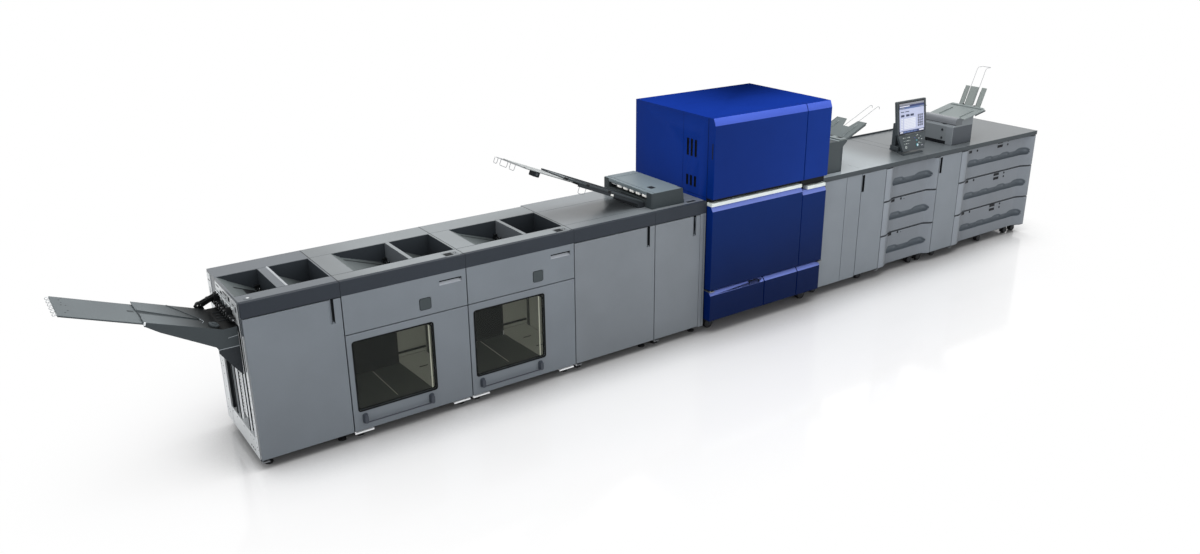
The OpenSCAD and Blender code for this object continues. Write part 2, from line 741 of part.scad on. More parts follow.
// ---------- feeders ----------
runner_z = 60;                    // underside of a runner above its drawer's underside
drawer_z = [drawer_seam_1, drawer_seam_2, right_base];
drawer_t = [front_top, drawer_seam_1, drawer_seam_2];

// open-fronted bay for three drawers between x0 and x1
module drawer_bay(x0, x1) {
  z1 = slab_z - seat;
  block(x0, x0 + wall_t, front_y + scoop_d, right_d, right_base, z1);
  block(x1 - wall_t, x1, front_y + scoop_d, right_d, right_base, z1);
  block(x0 + wall_t + seat, x1 - wall_t - seat, right_d - wall_t, right_d, right_base, z1);
  block(x0 + wall_t + seat, x1 - wall_t - seat, front_y + scoop_d, right_d - wall_t - seat,
        right_base, right_base + 14);
  for (i = [0:2]) for (x = [x0 + wall_t + seat, x1 - wall_t - seat - runner_w])
    block(x, x + runner_w, front_y + scoop_d + 10, right_d - wall_t - seat,
          drawer_z[i] + runner_z, drawer_z[i] + runner_z + runner_h);
}

// ends of a drawer's scooped face, left then right: flush part, then the sweep to the scoop's floor
ends_a = [[48, 117], [3, 104]];
ends_b = [[56, 125], [18, 141]];
// plan of the flush end e of a drawer's face; side = 1 when the scoop lies at its right
function end_pts(x, side, e) = concat([[x, scoop_d - seat], [x, 0]],
  [for (i = [0:9]) let (t = i / 10)
     [x + side * (e[0] + t * e[1]), scoop_d * (1 - cos(180 * t)) / 2]],
  [[x + side * (e[0] + 0.94 * e[1]), scoop_d - seat]]);
recess_h = 72;                    // height of the grip recess in a drawer's face
recess_d = 10;                    // depth of the grip recess
rung_t = 8;                       // thickness of the rails that hang a drawer on its runners
// the grip recess runs between the ends e of the drawer's face
module drawer(x0, x1, z0, z1, e) {
  xa = x0 + wall_t + runner_w + 2 * seat + run / 2;
  xb = x1 - wall_t - runner_w - 2 * seat - run / 2;
  ya = scoop_d + face_t + seat;
  yb = ya + drawer_len;
  zb = z0 + box_lift;
  zt = z1 - box_drop;
  zm = (z0 + z1) / 2;
  difference() {
    block(x0, x1, scoop_d, scoop_d + face_t, z0 + drawer_gap / 2, z1 - drawer_gap / 2);
    block(x0 + e[0][0] + e[0][1], x1 - e[1][0] - e[1][1], scoop_d - 1, scoop_d + recess_d,
          zm - recess_h / 2, zm + recess_h / 2);
  }
  translate([0, 0, z0 + drawer_gap / 2]) linear_extrude(z1 - z0 - drawer_gap) {
    polygon(end_pts(x0, 1, e[0]));
    polygon(end_pts(x1, -1, e[1]));
  }
  block(xa + box_t + seat, xb - box_t - seat, ya, yb, zb, zb + box_t);
  block(xa, xa + box_t, ya, yb, zb, zt);
  block(xb - box_t, xb, ya, yb, zb, zt);
  block(xa + box_t + seat, xb - box_t - seat, yb - box_t, yb, zb + box_t + seat, zt);
  zw = z0 + runner_z + runner_h + seat;
  reach = run / 2 + runner_w / 2;
  for (x = [xa - reach, xb + seat]) block(x, x + reach - seat, ya, yb, zw, zw + rung_t);
}

a_x0 = x_fda + seat;
a_x1 = x_fda + drawer_a_w;
b_x0 = x_fdb + seat;
b_x1 = x_end;
module feeder_a_body() color("#848b92") {
  drawer_bay(a_x0, a_x1);
  block(a_x1 + seat, x_fdb - seat, front_y, right_d, right_base, slab_z - seat);
}
module feeder_b_body() color("#848b92") drawer_bay(b_x0, b_x1);

module feeder_a_drawer(i) color("#8b9299")
  drawer(a_x0 + joint_gap / 2, a_x1 - joint_gap / 2, drawer_z[i], drawer_t[i], ends_a);
module feeder_b_drawer(i) color("#8b9299")
  drawer(b_x0 + joint_gap / 2, b_x1 - joint_gap / 2, drawer_z[i], drawer_t[i], ends_b);

module feeder_a_door() color("#848b92")
  slot_door_low(a_x1 + run, x_fdb - side_gap);

// ---------- worktop ----------
strip_x = [409, 509];             // cross strip on the worktop, from the first feeder's side
module worktop() color("#b4bcc1") {
  xs = [x_bri + joint_gap, x_fda + strip_x[0], x_fda + strip_x[1], x_max];
  for (i = [0:2])
    block(xs[i] + (i == 0 ? 0 : seat), xs[i + 1], -slab_over, right_d, slab_z, right_h);
  block(xs[0], x_max, right_d + seat, right_d + 14, slab_z, right_h + 12);
}

// ---------- bypass ----------
lip = [46, 38];                   // overhanging lip of the stand: reach and rise
bypass_x0 = x_bri + stand_w + lip[0] - 10;  // where the bypass tray's slope begins
bypass_z0 = right_h + stand_h + 50 + seat;  // underside of its level root
module bypass_stand() color("#5b6263") {
  x0 = x_bri + run;
  x1 = x_bri + stand_w;
  zt = right_h + stand_h;
  slice([[x0, right_h + seat], [x1, right_h + seat], [x1, zt], [x1 + lip[0], zt + lip[1]],
         [x1 + lip[0] - 6, zt + 50], [x0, zt + 50]], stand_y, stand_y + stand_d);
}

notch_x = 139;                    // notch between the prongs, from the start of the slope
notch_y = [92, 211];              // sides of the notch at the tip, from the tray's front
notch_floor = [110, 172];         // sides of the notch at its floor
module bypass_tray() color("#6d7576") difference() {
  e = [bypass_len * cos(bypass_slope), bypass_len * sin(bypass_slope)];
  n = [-tray_t * sin(bypass_slope), tray_t * cos(bypass_slope)];
  slice([[bypass_x0 - 76, bypass_z0], [bypass_x0, bypass_z0], [bypass_x0 + e[0], bypass_z0 + e[1]],
         [bypass_x0 + e[0] + n[0], bypass_z0 + e[1] + n[1]],
         [bypass_x0 - tray_t * tan(bypass_slope / 2), bypass_z0 + tray_t],
         [bypass_x0 - 76, bypass_z0 + tray_t]], stand_y, stand_y + bypass_w);
  translate([bypass_x0, stand_y, bypass_z0]) linear_extrude(bypass_len)
    polygon([[notch_x, notch_floor[0]], [e[0] + 1, notch_y[0]], [e[0] + 1, notch_y[1]],
             [notch_x, notch_floor[1]]]);
}

// ---------- control panel ----------
pz0 = right_h + seat;
px0 = x_fda + panel_x;
tilt_z = pz0 + 200;               // tilt axis
tilt_y = 204;                     // tilt axis from the cabinet front
pin_r = 8;                        // tilt pin
knuckle_r = 18;                   // knuckles round the tilt pin
module panel_stand() color("#3a4043") {
  block(px0 + 40, px0 + 310, 92, 330, pz0, pz0 + 14);
  block(px0 + 90, px0 + 260, 190, 300, pz0 + 13, pz0 + 50);
  block(px0 + 112, px0 + 238, tilt_y + 36, tilt_y + 80, pz0 + 49, tilt_z + 40);
  for (x = [px0 + 112, px0 + 220]) {
    block(x, x + 18, tilt_y, tilt_y + 37, tilt_z - knuckle_r, tilt_z + knuckle_r);
    translate([x, tilt_y, tilt_z]) rotate([0, 90, 0]) cylinder(r = knuckle_r, h = 18);
  }
  translate([px0 + 113, tilt_y, tilt_z]) rotate([0, 90, 0]) cylinder(r = pin_r, h = 124);
}

module control_panel() color("#3a4043") {
  zs = pz0 + 168;
  ls = screen_h * sin(panel_lean);
  lc = screen_h * cos(panel_lean);
  rotate([90, 0, 90]) translate([0, 0, px0]) linear_extrude(panel_w)
    polygon([[100, pz0 + 26], [124, pz0 + 22], [134 + panel_t, zs],
             [134 + panel_t + ls, zs + lc], [134 + ls, zs + 4 + lc], [134, zs]]);
  difference() {
    union() {
      translate([px0 + 131, tilt_y, tilt_z]) rotate([0, 90, 0])
        cylinder(r = knuckle_r, h = 88);
      block(px0 + 131, px0 + 219, 152, tilt_y, tilt_z - knuckle_r, tilt_z + knuckle_r);
    }
    translate([px0 + 130, tilt_y, tilt_z]) rotate([0, 90, 0])
      cylinder(r = pin_r + seat, h = 90);
  }
}

// ---------- top feeder ----------
mx0 = x_fdb - mbf_in;
mz0 = right_h + seat;
deck_x = 118;                     // where the feeder's tray begins
deck_z = mz0 + mbf_h + 44;        // top of the body under the tray's start
deck_rise = 58;                   // rise of the tray over its length
deck_len = 310;                   // length of the tray
function deck_at(x) = deck_z + deck_rise * (x - deck_x) / deck_len;
module top_feeder() color("#686e75") {
  slice([[mx0, mz0], [mx0 + mbf_w, mz0], [mx0 + mbf_w, deck_at(mbf_w)],
         [mx0 + deck_x, deck_at(deck_x)], [mx0 + 104, mz0 + mbf_h + 70],
         [mx0 + 88, mz0 + mbf_h + 84], [mx0 + 64, mz0 + mbf_h + 88],
         [mx0 + 44, mz0 + mbf_h + 80], [mx0 + 34, mz0 + mbf_h + 60],
         [mx0 + 34, mz0 + mbf_h + 4], [mx0 + 6, mz0 + mbf_h], [mx0, mz0 + mbf_h - 6]],
        mbf_y, mbf_y + mbf_d);
  for (z = [53, 125]) translate([mx0 - 5, mbf_y + 110, mz0 + z]) rotate([0, 90, 0])
    cylinder(d = 20, h = 6);
}

prongs = [[43, 90], [123, 205], [217, 258]];  // sides of the prongs from the unit's front
prong_h = 178;                    // height of the prongs
prong_w = 14;                     // thickness of the prongs
prong_lean = 0.42;                // lean of the prongs, sideways for each step up
prong_x = mx0 + deck_x + deck_len - 17;       // middle of the prongs at the deck
prong_z = deck_at(deck_x + deck_len - 14);    // deck under the prongs
module top_feeder_tray() color("#8a9190") {
  x0 = mx0 + deck_x;
  t = 12;
  e = deck_len;
  slice([[x0 + seat, deck_z + seat], [mx0 + mbf_w, deck_at(mbf_w) + seat],
         [x0 + e, deck_at(deck_x + e) + seat - 6], [x0 + e, deck_at(deck_x + e) + t],
         [x0 + seat, deck_z + t]], mbf_y - 18, mbf_y + mbf_d);
  xp = prong_x + prong_lean * prong_h;
  for (p = prongs)
    slice([[prong_x - prong_w / 2, prong_z + 2], [prong_x + prong_w / 2, prong_z + 2],
           [xp + prong_w / 2, prong_z + prong_h], [xp - prong_w / 2 + 4, prong_z + prong_h]],
          mbf_y + p[0], mbf_y + p[1]);
}

// ---------- wires ----------
wire_t = 4;                       // diameter of the wires
bend_t = wire_t + 0.4;            // diameter at their bends
// wire through the points p, with round bends
module wire(p) {
  for (i = [0:len(p) - 2]) {
    v = p[i + 1] - p[i];
    translate(p[i]) rotate([0, acos(v[2] / norm(v)), atan2(v[1], v[0])])
      cylinder(d = wire_t, h = norm(v), $fn = 16);
  }
  for (i = [1:len(p) - 2]) translate(p[i]) sphere(d = bend_t, $fn = 24);
}

out_tip_wire = 56;                // tip wire ahead of the output tray's extension
out_loop_h = 38;                  // loops that hang from the tip wire
stand_u = 560;                    // stand loop under the output tray: distance up the slope
stand_size = [56, 60];            // its length and height
out_loops = [[0, 64], [100, 194], [236, 280]];  // their sides along the tip, from the front
guide_len = 320;                  // guides beyond the bypass tray's notch
guide_y = [98, 172];              // their places from the stand's front
frame_h = 608;                    // top of that frame above the worktop
module tray_wires() color("#d4d8da") {
  // tip of the output tray
  on_out_slope() {
    u0 = -out_tray_len - out_ext_len - seat;
    u1 = u0 - out_tip_wire;
    y0 = out_tray_y + out_ext_in;
    w = out_tray_w - 2 * out_ext_in;
    zw = out_ext_z + 4;
    wire([[u0, y0, zw], [u1, y0, zw], [u1, y0 + w, zw], [u0, y0 + w, zw]]);
    for (c = out_loops) let (a = y0 + c[0] * w / 280, b = y0 + c[1] * w / 280)
      wire([[u1 - wire_t - seat, a, zw], [u1 - wire_t - seat, a, zw - out_loop_h],
            [u1 - wire_t - seat, b, zw - out_loop_h], [u1 - wire_t - seat, b, zw]]);
  }
  // stand loop under the output tray
  on_out_slope() translate([-stand_u, out_tray_y + out_rail + seat + wire_t / 2 + 1, -16])
    wire([[0, 0, 0], [0, 0, -stand_size[1]], [stand_size[0], 0, -stand_size[1]],
          [stand_size[0], 0, 0]]);
  // guides beyond the bypass tray's notch
  zg = -wire_t / 2 - seat;
  ug = notch_x + guide_len;
  for (y = guide_y) translate([bypass_x0, stand_y + y, bypass_z0]) rotate([0, -bypass_slope, 0])
    wire([[notch_x - 40, 0, zg], [ug, 0, zg], [ug + 18, 0, zg - 12], [ug + 12, 0, zg - 30]]);
  // frame on the top feeder's tray
  ze = right_h + frame_h;
  ya = mbf_y + prongs[1][0] - wire_t / 2 - seat;
  yb = mbf_y + prongs[1][1] + wire_t / 2 + seat;
  xa = prong_x + prong_lean * 30;
  xb = prong_x + prong_lean * (ze - 18 - prong_z);
  wire([[xa, ya, prong_z + 30], [xb, ya, ze - 18], [xb + 16, ya, ze], [xb + 80, ya, ze],
        [xb + 80, yb, ze], [xb + 16, yb, ze], [xb, yb, ze - 18], [xa, yb, prong_z + 30]]);
}

// ---------- feet ----------
foot_in = 56;                     // levelling feet from a cabinet's sides
foot_stem = 22;                   // stem of a levelling foot
module feet() color("#1c1e20") {
  xs = [x_fin, x_st1, x_st2, x_rel, x_exit, x_eng];
  for (i = [0:4]) for (x = [xs[i] + foot_in, xs[i + 1] - foot_in])
    for (y = [front_y + 45, left_d - 60]) translate([x, y, 0]) {
      cylinder(d = foot_d, h = foot_pad);
      translate([0, 0, foot_pad + seat])
        cylinder(d = foot_stem, h = left_base - foot_pad - 2 * seat);
    }
}

cast_in = 90;                     // engine's casters from its sides, bridge's first from its left
cast_right = [[153], [480, 358, 154], [587, 171, 48]];   // the others from their cabinet's right
module casters() color("#202225") {
  for (x = [x_eng + cast_in, x_bri - cast_in], y = [60, eng_y1 - 90])
    caster(x, y, engine_base);
  for (y = [front_y + scoop_d + 26, right_d - 90]) {
    caster(x_bri + cast_in, y, right_base);
    for (c = [[x_fda, cast_right[0]], [x_fdb, cast_right[1]], [x_end, cast_right[2]]])
      for (d = c[1]) caster(c[0] - d, y, right_base);
  }
}

fork_t = 4;                       // sides of a caster's fork
// wheel between the sides of a fork, under a plate
module caster(x, y, top) {
  w = wheel_w / 2;
  translate([x - w, y, wheel_d / 2]) rotate([0, 90, 0]) cylinder(d = wheel_d, h = wheel_w);
  for (xf = [x - w - seat - fork_t, x + w + seat])
    block(xf, xf + fork_t, y - 12, y + 20, wheel_d / 2 - 8, top - plate_t - 2 * seat);
  block(x - w - 8, x + w + 8, y - 22, y + 30, top - seat - plate_t, top - seat);
}

// ---------- assembly ----------
translate(-org) {
  finisher_body();
  finisher_side_frame();
  finisher_lift_rails();
  finisher_top();
  finisher_door();
  finisher_tray();
  finisher_tray_extension();
  finisher_tray_loops();
  finisher_exit_lever();
  front_bands();
  bin_ramps();
  door_hinges();
  stacker_body(x_st1);  // stacker_1_body
  stacker_door(x_st1);  // stacker_1_door
  stacker_window(x_st1);  // stacker_1_window
  stacker_pull(x_st1);  // stacker_1_pull
  stacker_body(x_st2);  // stacker_2_body
  stacker_tops();
  stacker_upper_panels();
  stacker_door(x_st2);  // stacker_2_door
  stacker_window(x_st2);  // stacker_2_window
  stacker_pull(x_st2);  // stacker_2_pull
  stacker_lifts();
  relay_body();
  relay_door();
  exit_body();
  exit_door();
  output_unit();
  output_rollers();
  output_tray();
  output_tray_extension();
  engine_body();
  engine_upper_doors();
  engine_lower_door();
  engine_side_door();
  engine_lower_strip();
  engine_side_strip();
  engine_grip_channel();
  engine_base_covers();
  bridge_body();
  bridge_door();
  feeder_a_body();
  feeder_a_drawer(0);  // feeder_a_drawer_1
  feeder_a_drawer(1);  // feeder_a_drawer_2
  feeder_a_drawer(2);  // feeder_a_drawer_3
  feeder_a_door();
  feeder_b_body();
  feeder_b_drawer(0);  // feeder_b_drawer_1
  feeder_b_drawer(1);  // feeder_b_drawer_2
  feeder_b_drawer(2);  // feeder_b_drawer_3
  worktop();
  bypass_stand();
  bypass_tray();
  panel_stand();
  control_panel();
  top_feeder();
  top_feeder_tray();
  tray_wires();
  feet();
  casters();
}
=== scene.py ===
"""Digital production printer line: camera, studio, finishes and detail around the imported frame.

Lengths are millimetres in the line's own coordinates: x = 0 at the finisher's left side,
y = 0 on the cabinets' front plane, z = 0 on the floor. place() turns them into metres in the frame.
"""
import json
import math

import bmesh
import bpy
from mathutils import Matrix, Vector

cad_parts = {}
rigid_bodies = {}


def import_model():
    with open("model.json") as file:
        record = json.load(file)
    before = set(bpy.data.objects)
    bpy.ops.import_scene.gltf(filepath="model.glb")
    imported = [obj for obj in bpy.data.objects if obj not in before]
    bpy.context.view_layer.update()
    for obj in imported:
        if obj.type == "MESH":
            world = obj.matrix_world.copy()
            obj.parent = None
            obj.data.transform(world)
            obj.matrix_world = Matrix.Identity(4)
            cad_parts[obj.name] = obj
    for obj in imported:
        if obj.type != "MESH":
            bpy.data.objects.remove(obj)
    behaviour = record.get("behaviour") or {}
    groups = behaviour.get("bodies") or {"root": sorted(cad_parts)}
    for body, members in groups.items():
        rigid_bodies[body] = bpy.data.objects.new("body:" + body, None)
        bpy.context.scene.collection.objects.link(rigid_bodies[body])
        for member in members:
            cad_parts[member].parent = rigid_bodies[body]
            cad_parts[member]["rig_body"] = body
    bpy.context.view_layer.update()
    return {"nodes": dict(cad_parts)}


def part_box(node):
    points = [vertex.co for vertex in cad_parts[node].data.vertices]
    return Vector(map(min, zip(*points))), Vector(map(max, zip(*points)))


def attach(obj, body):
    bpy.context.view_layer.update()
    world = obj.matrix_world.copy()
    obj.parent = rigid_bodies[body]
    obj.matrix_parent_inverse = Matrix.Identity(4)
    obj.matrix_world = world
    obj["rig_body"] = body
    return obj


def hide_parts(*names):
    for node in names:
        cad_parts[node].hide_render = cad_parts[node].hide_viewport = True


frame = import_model()

MM = 0.001
LINE_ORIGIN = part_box("front_bands")[0].copy()
LINE_ORIGIN.z = 0.0
TO_FRAME = Matrix.Translation(LINE_ORIGIN) @ Matrix.Scale(MM, 4)
SCENE = bpy.context.scene


def place(x, y, z):
    """A point of the line, in mm, as metres in the frame."""
    return TO_FRAME @ Vector((x, y, z))


def extent(node):
    """x0, x1, y0, y1, z0, z1 of a CAD node in the line's millimetres."""
    low, high = ((c - LINE_ORIGIN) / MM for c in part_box(node))
    return low.x, high.x, low.y, high.y, low.z, high.z


def sizes(node):
    """The same to a hundredth, for the line's main sizes."""
    return [round(v, 2) for v in extent(node)]


def body_of(node):
    """The body that a CAD node moves with."""
    return frame["nodes"][node]["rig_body"]


# ---------------------------------------------------------------- node trees
class Tree:
    """A node tree; an input is given as a value, or as the socket that feeds it."""

    def __init__(self, tree):
        self.nodes, self.links = tree.nodes, tree.links

    def feed(self, node, inputs):
        """Sets or links the named inputs of a node."""
        for name, value in inputs.items():
            if isinstance(value, bpy.types.NodeSocket):
                self.links.new(value, node.inputs[name])
            else:
                node.inputs[name].default_value = value

    def add(self, kind, inputs=None, output=0, **settings):
        """A new node's output socket."""
        node = self.nodes.new("ShaderNode" + kind)
        for name, value in settings.items():
            setattr(node, name, value)
        self.feed(node, inputs or {})
        return node.outputs[output]

    def math(self, operation, a, b):
        """Two values put together."""
        return self.add("Math", {0: a, 1: b}, operation=operation)

    def spread(self, value, a, b, at_a=0.0, at_b=1.0, curve="LINEAR"):
        """The value carried from the range a..b to at_a..at_b."""
        return self.add("MapRange", {"Value": value, "From Min": a, "From Max": b,
                                     "To Min": at_a, "To Max": at_b}, "Result",
                        interpolation_type=curve)

    def seen_directly(self):
        """1 for rays which show a backdrop: camera, mirror and see-through rays."""
        path = self.nodes.new("ShaderNodeLightPath").outputs
        total = path["Is Camera Ray"]
        for ray in ("Is Glossy Ray", "Is Transmission Ray"):
            total = self.math("MAXIMUM", total, path[ray])
        return total


def principled(name):
    """A new material with its tree and its shader."""
    material = bpy.data.materials.new(name)
    material.use_nodes = True
    tree = Tree(material.node_tree)
    return material, tree, tree.nodes["Principled BSDF"]


# ---------------------------------------------------------------- camera and studio
LENS, SENSOR = 29.496, 36.0
SHIFT = (-0.01642, -0.01003)
CAMERA_AT = (-1178.8, -5068.9, 3024.3)
YAW = math.radians(35.829)
PITCH = math.radians(20.385)
FAR_CLIP = 100.0
WHITE = (1.0, 1.0, 1.0, 1.0)
AMBIENT = 0.62
FLOOR_HALF = 60.0
FLOOR_WHITE = (0.805, 0.805, 0.811)
FLOOR_GLOW = 0.06


def make_camera():
    """Camera as solved from the photo."""
    data = bpy.data.cameras.new("camera")
    data.sensor_width, data.lens = SENSOR, LENS
    data.shift_x, data.shift_y = SHIFT
    data.clip_end = FAR_CLIP
    camera = bpy.data.objects.new("camera", data)
    SCENE.collection.objects.link(camera)
    ahead = Vector((math.sin(YAW) * math.cos(PITCH), math.cos(YAW) * math.cos(PITCH),
                    -math.sin(PITCH)))
    camera.rotation_mode = "QUATERNION"
    camera.rotation_quaternion = ahead.to_track_quat("-Z", "Y")
    camera.location = place(*CAMERA_AT)
    SCENE.camera = camera


def make_world():
    """Soft light from all round, and a plain white backdrop where it is seen."""
    world = bpy.data.worlds.new("studio")
    SCENE.world = world
    world.use_nodes = True
    tree = Tree(world.node_tree)
    tree.nodes.clear()
    light = tree.add("Background", {"Color": WHITE, "Strength": AMBIENT})
    white = tree.add("Background", {"Color": WHITE, "Strength": 1.0})
    mix = tree.add("MixShader", {0: tree.seen_directly(), 1: light, 2: white})
    tree.links.new(mix, tree.nodes.new("ShaderNodeOutputWorld").inputs["Surface"])


def area_light(name, position, target, size, power):
    """Soft rectangular lamp; position, target and size in the frame's metres."""
    data = bpy.data.lights.new(name, "AREA")
    data.shape = "RECTANGLE"
    data.size, data.size_y = size
    data.energy = power
    lamp = bpy.data.objects.new(name, data)
    SCENE.collection.objects.link(lamp)
    lamp.location = position
    lamp.rotation_euler = (Vector(target) - Vector(position)).to_track_quat("-Z", "Y").to_euler()


def floor_material():
    """Pale and glossy, with painted shade near the feet; a little glow lifts it for direct rays,
    and it fades out to plain white.
    """
    material, tree, shader = principled("floor_white")
    # 1 in the open, less near the feet, where painted shade darkens the floor and it has no glow
    openness = tree.add("AmbientOcclusion", {"Distance": 0.5}, "AO", samples=8)
    tint = tree.add("VectorMath", {0: FLOOR_WHITE, "Scale": tree.spread(openness, 0.3, 0.85, 0.4)},
                    operation="SCALE")
    tree.feed(shader, {"Roughness": 0.1, "Specular IOR Level": 1.0, "Base Color": tint})
    glow = tree.add("Emission", {"Strength": tree.spread(openness, 0.7, 1.0, 0.0, FLOOR_GLOW)})
    near = tree.add("AddShader", {0: shader.outputs[0], 1: glow})
    # an oval round the line, out of which the floor turns into the backdrop
    where = tree.add("TexCoord", output="Object")
    oval = tree.add("Mapping", {"Location": (0.0, 0.12, 0.0), "Scale": (0.78, 1.55, 0.0),
                                "Vector": where})
    reach = tree.add("VectorMath", {0: oval}, "Value", operation="LENGTH")
    fade = tree.math("MULTIPLY", tree.spread(reach, 1.9, 3.6, curve="SMOOTHSTEP"),
                     tree.spread(openness, 0.45, 1.0))
    white = tree.add("Emission", {"Strength": 1.0})
    shown = tree.add("MixShader", {0: fade, 1: near, 2: white})
    mix = tree.add("MixShader", {0: tree.seen_directly(), 1: shader.outputs[0], 2: shown})
    tree.links.new(mix, tree.nodes["Material Output"].inputs["Surface"])
    return material


def make_floor():
    """The studio's wide floor."""
    bm = bmesh.new()
    bmesh.ops.create_grid(bm, x_segments=1, y_segments=1, size=FLOOR_HALF)
    mesh = bpy.data.meshes.new("floor")
    bm.to_mesh(mesh)
    bm.free()
    mesh.materials.append(floor_material())
    floor = bpy.data.objects.new("floor", mesh)
    SCENE.collection.objects.link(floor)


SCENE.view_settings.view_transform = "Standard"
make_camera()
make_world()
make_floor()
area_light("top_light", (0.5, -0.8, 5.5), (0.3, 0.1, 0.0), (9.0, 4.0), 260.0)
area_light("front_light", (1.0, -7.5, 3.4), (0.4, 0.0, 0.8), (9.0, 4.0), 150.0)
area_light("left_light", (-7.5, -0.8, 3.2), (-4.4, 0.0, 0.2), (3.0, 3.0), 55.0)

# ---------------------------------------------------------------- materials
MATERIALS = {}
DRIFT_SCALE = 3.5
FLECK = 0.03
ROUGH_SPREAD = 0.06
GRAIN_DEPTH = 0.0006


def linear(value):
    """An 8-bit sRGB value as a linear one."""
    value /= 255
    return value / 12.92 if value <= 10 / 255 else ((value + 0.055) / 1.055) ** 2.4


def surface(name, rgb, rough, metallic=0.0, grain=900.0, bump=0.06, mottle=0.05, coat=0.0,
            specular=0.3, brushed=0.0, speckle=0.0, alpha=1.0, glow=0.0, painted_shading=()):
    """Procedural finish: colour that drifts a little, a fine grain in bump and roughness.
    The last argument paints light and shade into the colour: each (axis, a, b, at_a, at_b) tones it
    from at_a at line position a to at_b at b."""
    material, tree, shader = principled(name)
    where = tree.add("TexCoord", output="Object")
    stretched = tree.add("Mapping", {"Scale": (1.0, 1.0, 1.0 + brushed), "Vector": where})
    drift = tree.add("TexNoise", {"Scale": DRIFT_SCALE, "Detail": 4.0, "Vector": where}, "Fac")
    fine = tree.add("TexNoise", {"Scale": grain, "Detail": 3.0, "Vector": stretched}, "Fac")
    fleck = FLECK + speckle
    tone = tree.math("MULTIPLY", tree.spread(drift, 0.3, 0.7, 1.0 - mottle, 1.0 + mottle),
                     tree.spread(fine, 0.35, 0.65, 1.0 - fleck, 1.0 + fleck))
    # painted light and shade: the colour toned along an axis of the line
    for axis, a, b, at_a, at_b in painted_shading:
        ends = [getattr(place(v, v, v), axis) for v in (a, b)]
        along = tree.add("SeparateXYZ", {0: where}, axis.upper())
        tone = tree.math("MULTIPLY", tone, tree.spread(along, *ends, at_a, at_b, "SMOOTHSTEP"))
    colour = (*(linear(c) for c in rgb), 1.0)
    tint = tree.add("Mix", {"Factor": 1.0, "A": colour, "B": tone}, "Result", data_type="RGBA",
                    blend_type="MULTIPLY")
    matt = tree.spread(fine, 0.0, 1.0, max(0.02, rough - ROUGH_SPREAD),
                       min(1.0, rough + ROUGH_SPREAD))
    relief = tree.add("Bump", {"Strength": bump, "Distance": GRAIN_DEPTH, "Height": fine})
    tree.feed(shader, {"Base Color": tint, "Roughness": matt, "Normal": relief,
                       "Metallic": metallic, "Coat Weight": coat, "Coat Roughness": 0.2,
                       "Specular IOR Level": specular, "Alpha": alpha})
    if glow:
        tree.feed(shader, {"Emission Color": tint, "Emission Strength": glow})
    MATERIALS[name] = material


# plain paint and plastic
for name, rgb, rough in (
        ("roller_white", (236, 236, 232), 0.4), ("toe_white", (232, 234, 236), 0.35),
        ("drawer_inside", (150, 154, 156), 0.42), ("foot_pale", (214, 217, 218), 0.4),
        ("divider_grey", (94, 99, 104), 0.45), ("label_grey", (112, 117, 120), 0.45),
        ("grip_painted_light", (156, 161, 168), 0.4), ("tray_edge", (148, 155, 160), 0.4),
        ("tray_slim", (168, 172, 172), 0.45), ("worktop_seam", (140, 149, 154), 0.4),
        ("stand_lip", (150, 160, 160), 0.4), ("bypass_light", (130, 138, 138), 0.45),
        ("feeder_top_light", (122, 128, 133), 0.4), ("lid_cap", (92, 97, 101), 0.4),
        ("key_white", (184, 190, 188), 0.35), ("key_grey", (126, 136, 134), 0.4),
        ("key_blue", (70, 86, 138), 0.35), ("key_cyan", (92, 176, 186), 0.35)):
    surface(name, rgb, rough)
# dull ones, with less of a shine
for name, rgb, rough, specular in (
        ("bay_dark", (30, 33, 37), 0.6, 0.1), ("slot_black", (22, 25, 28), 0.55, 0.1),
        ("engine_seam", (6, 16, 58), 0.5, 0.1), ("gasket_black", (16, 18, 18), 0.6, 0.1),
        ("mark_black", (18, 21, 26), 0.4, 0.1), ("worktop_edge", (66, 72, 76), 0.45, 0.15),
        ("seam_grey", (62, 66, 70), 0.6, 0.1), ("unit_dark", (58, 64, 66), 0.5, 0.15),
        ("rail_dark", (56, 60, 64), 0.45, 0.15), ("screen_black", (12, 14, 18), 0.12, 0.4),
        ("hub_grey", (52, 55, 58), 0.5, 0.15)):
    surface(name, rgb, rough, specular=specular)
# surfaces that glow a little: the screen, a display, and painted light on the white rails and
# strips of the finisher's bay, on the output rollers and inside the stackers
for name, rgb, rough, glow in (
        ("rail_white", (236, 239, 241), 0.4, 0.2), ("chamber_olive", (112, 114, 104), 0.5, 0.22),
        ("chamber_pale", (168, 168, 156), 0.5, 0.25), ("chamber_dark", (32, 36, 33), 0.5, 0.15),
        ("chamber_floor", (56, 60, 54), 0.42, 0.24), ("chamber_lit", (128, 131, 119), 0.5, 0.36),
        ("chamber_line", (168, 168, 150), 0.4, 0.4), ("chamber_edge", (214, 217, 198), 0.4, 0.55),
        ("screen_pale", (182, 188, 214), 0.3, 0.06), ("screen_grey", (126, 128, 136), 0.3, 0.25),
        ("screen_navy", (42, 52, 92), 0.3, 0.25), ("screen_slate", (82, 100, 140), 0.3, 0.3),
        ("screen_white", (214, 217, 228), 0.3, 0.08), ("screen_key", (52, 58, 82), 0.3, 0.15),
        ("screen_line", (156, 164, 188), 0.3, 0.3), ("roller_bright", (250, 250, 246), 0.35, 0.35)):
    surface(name, rgb, rough, glow=glow)
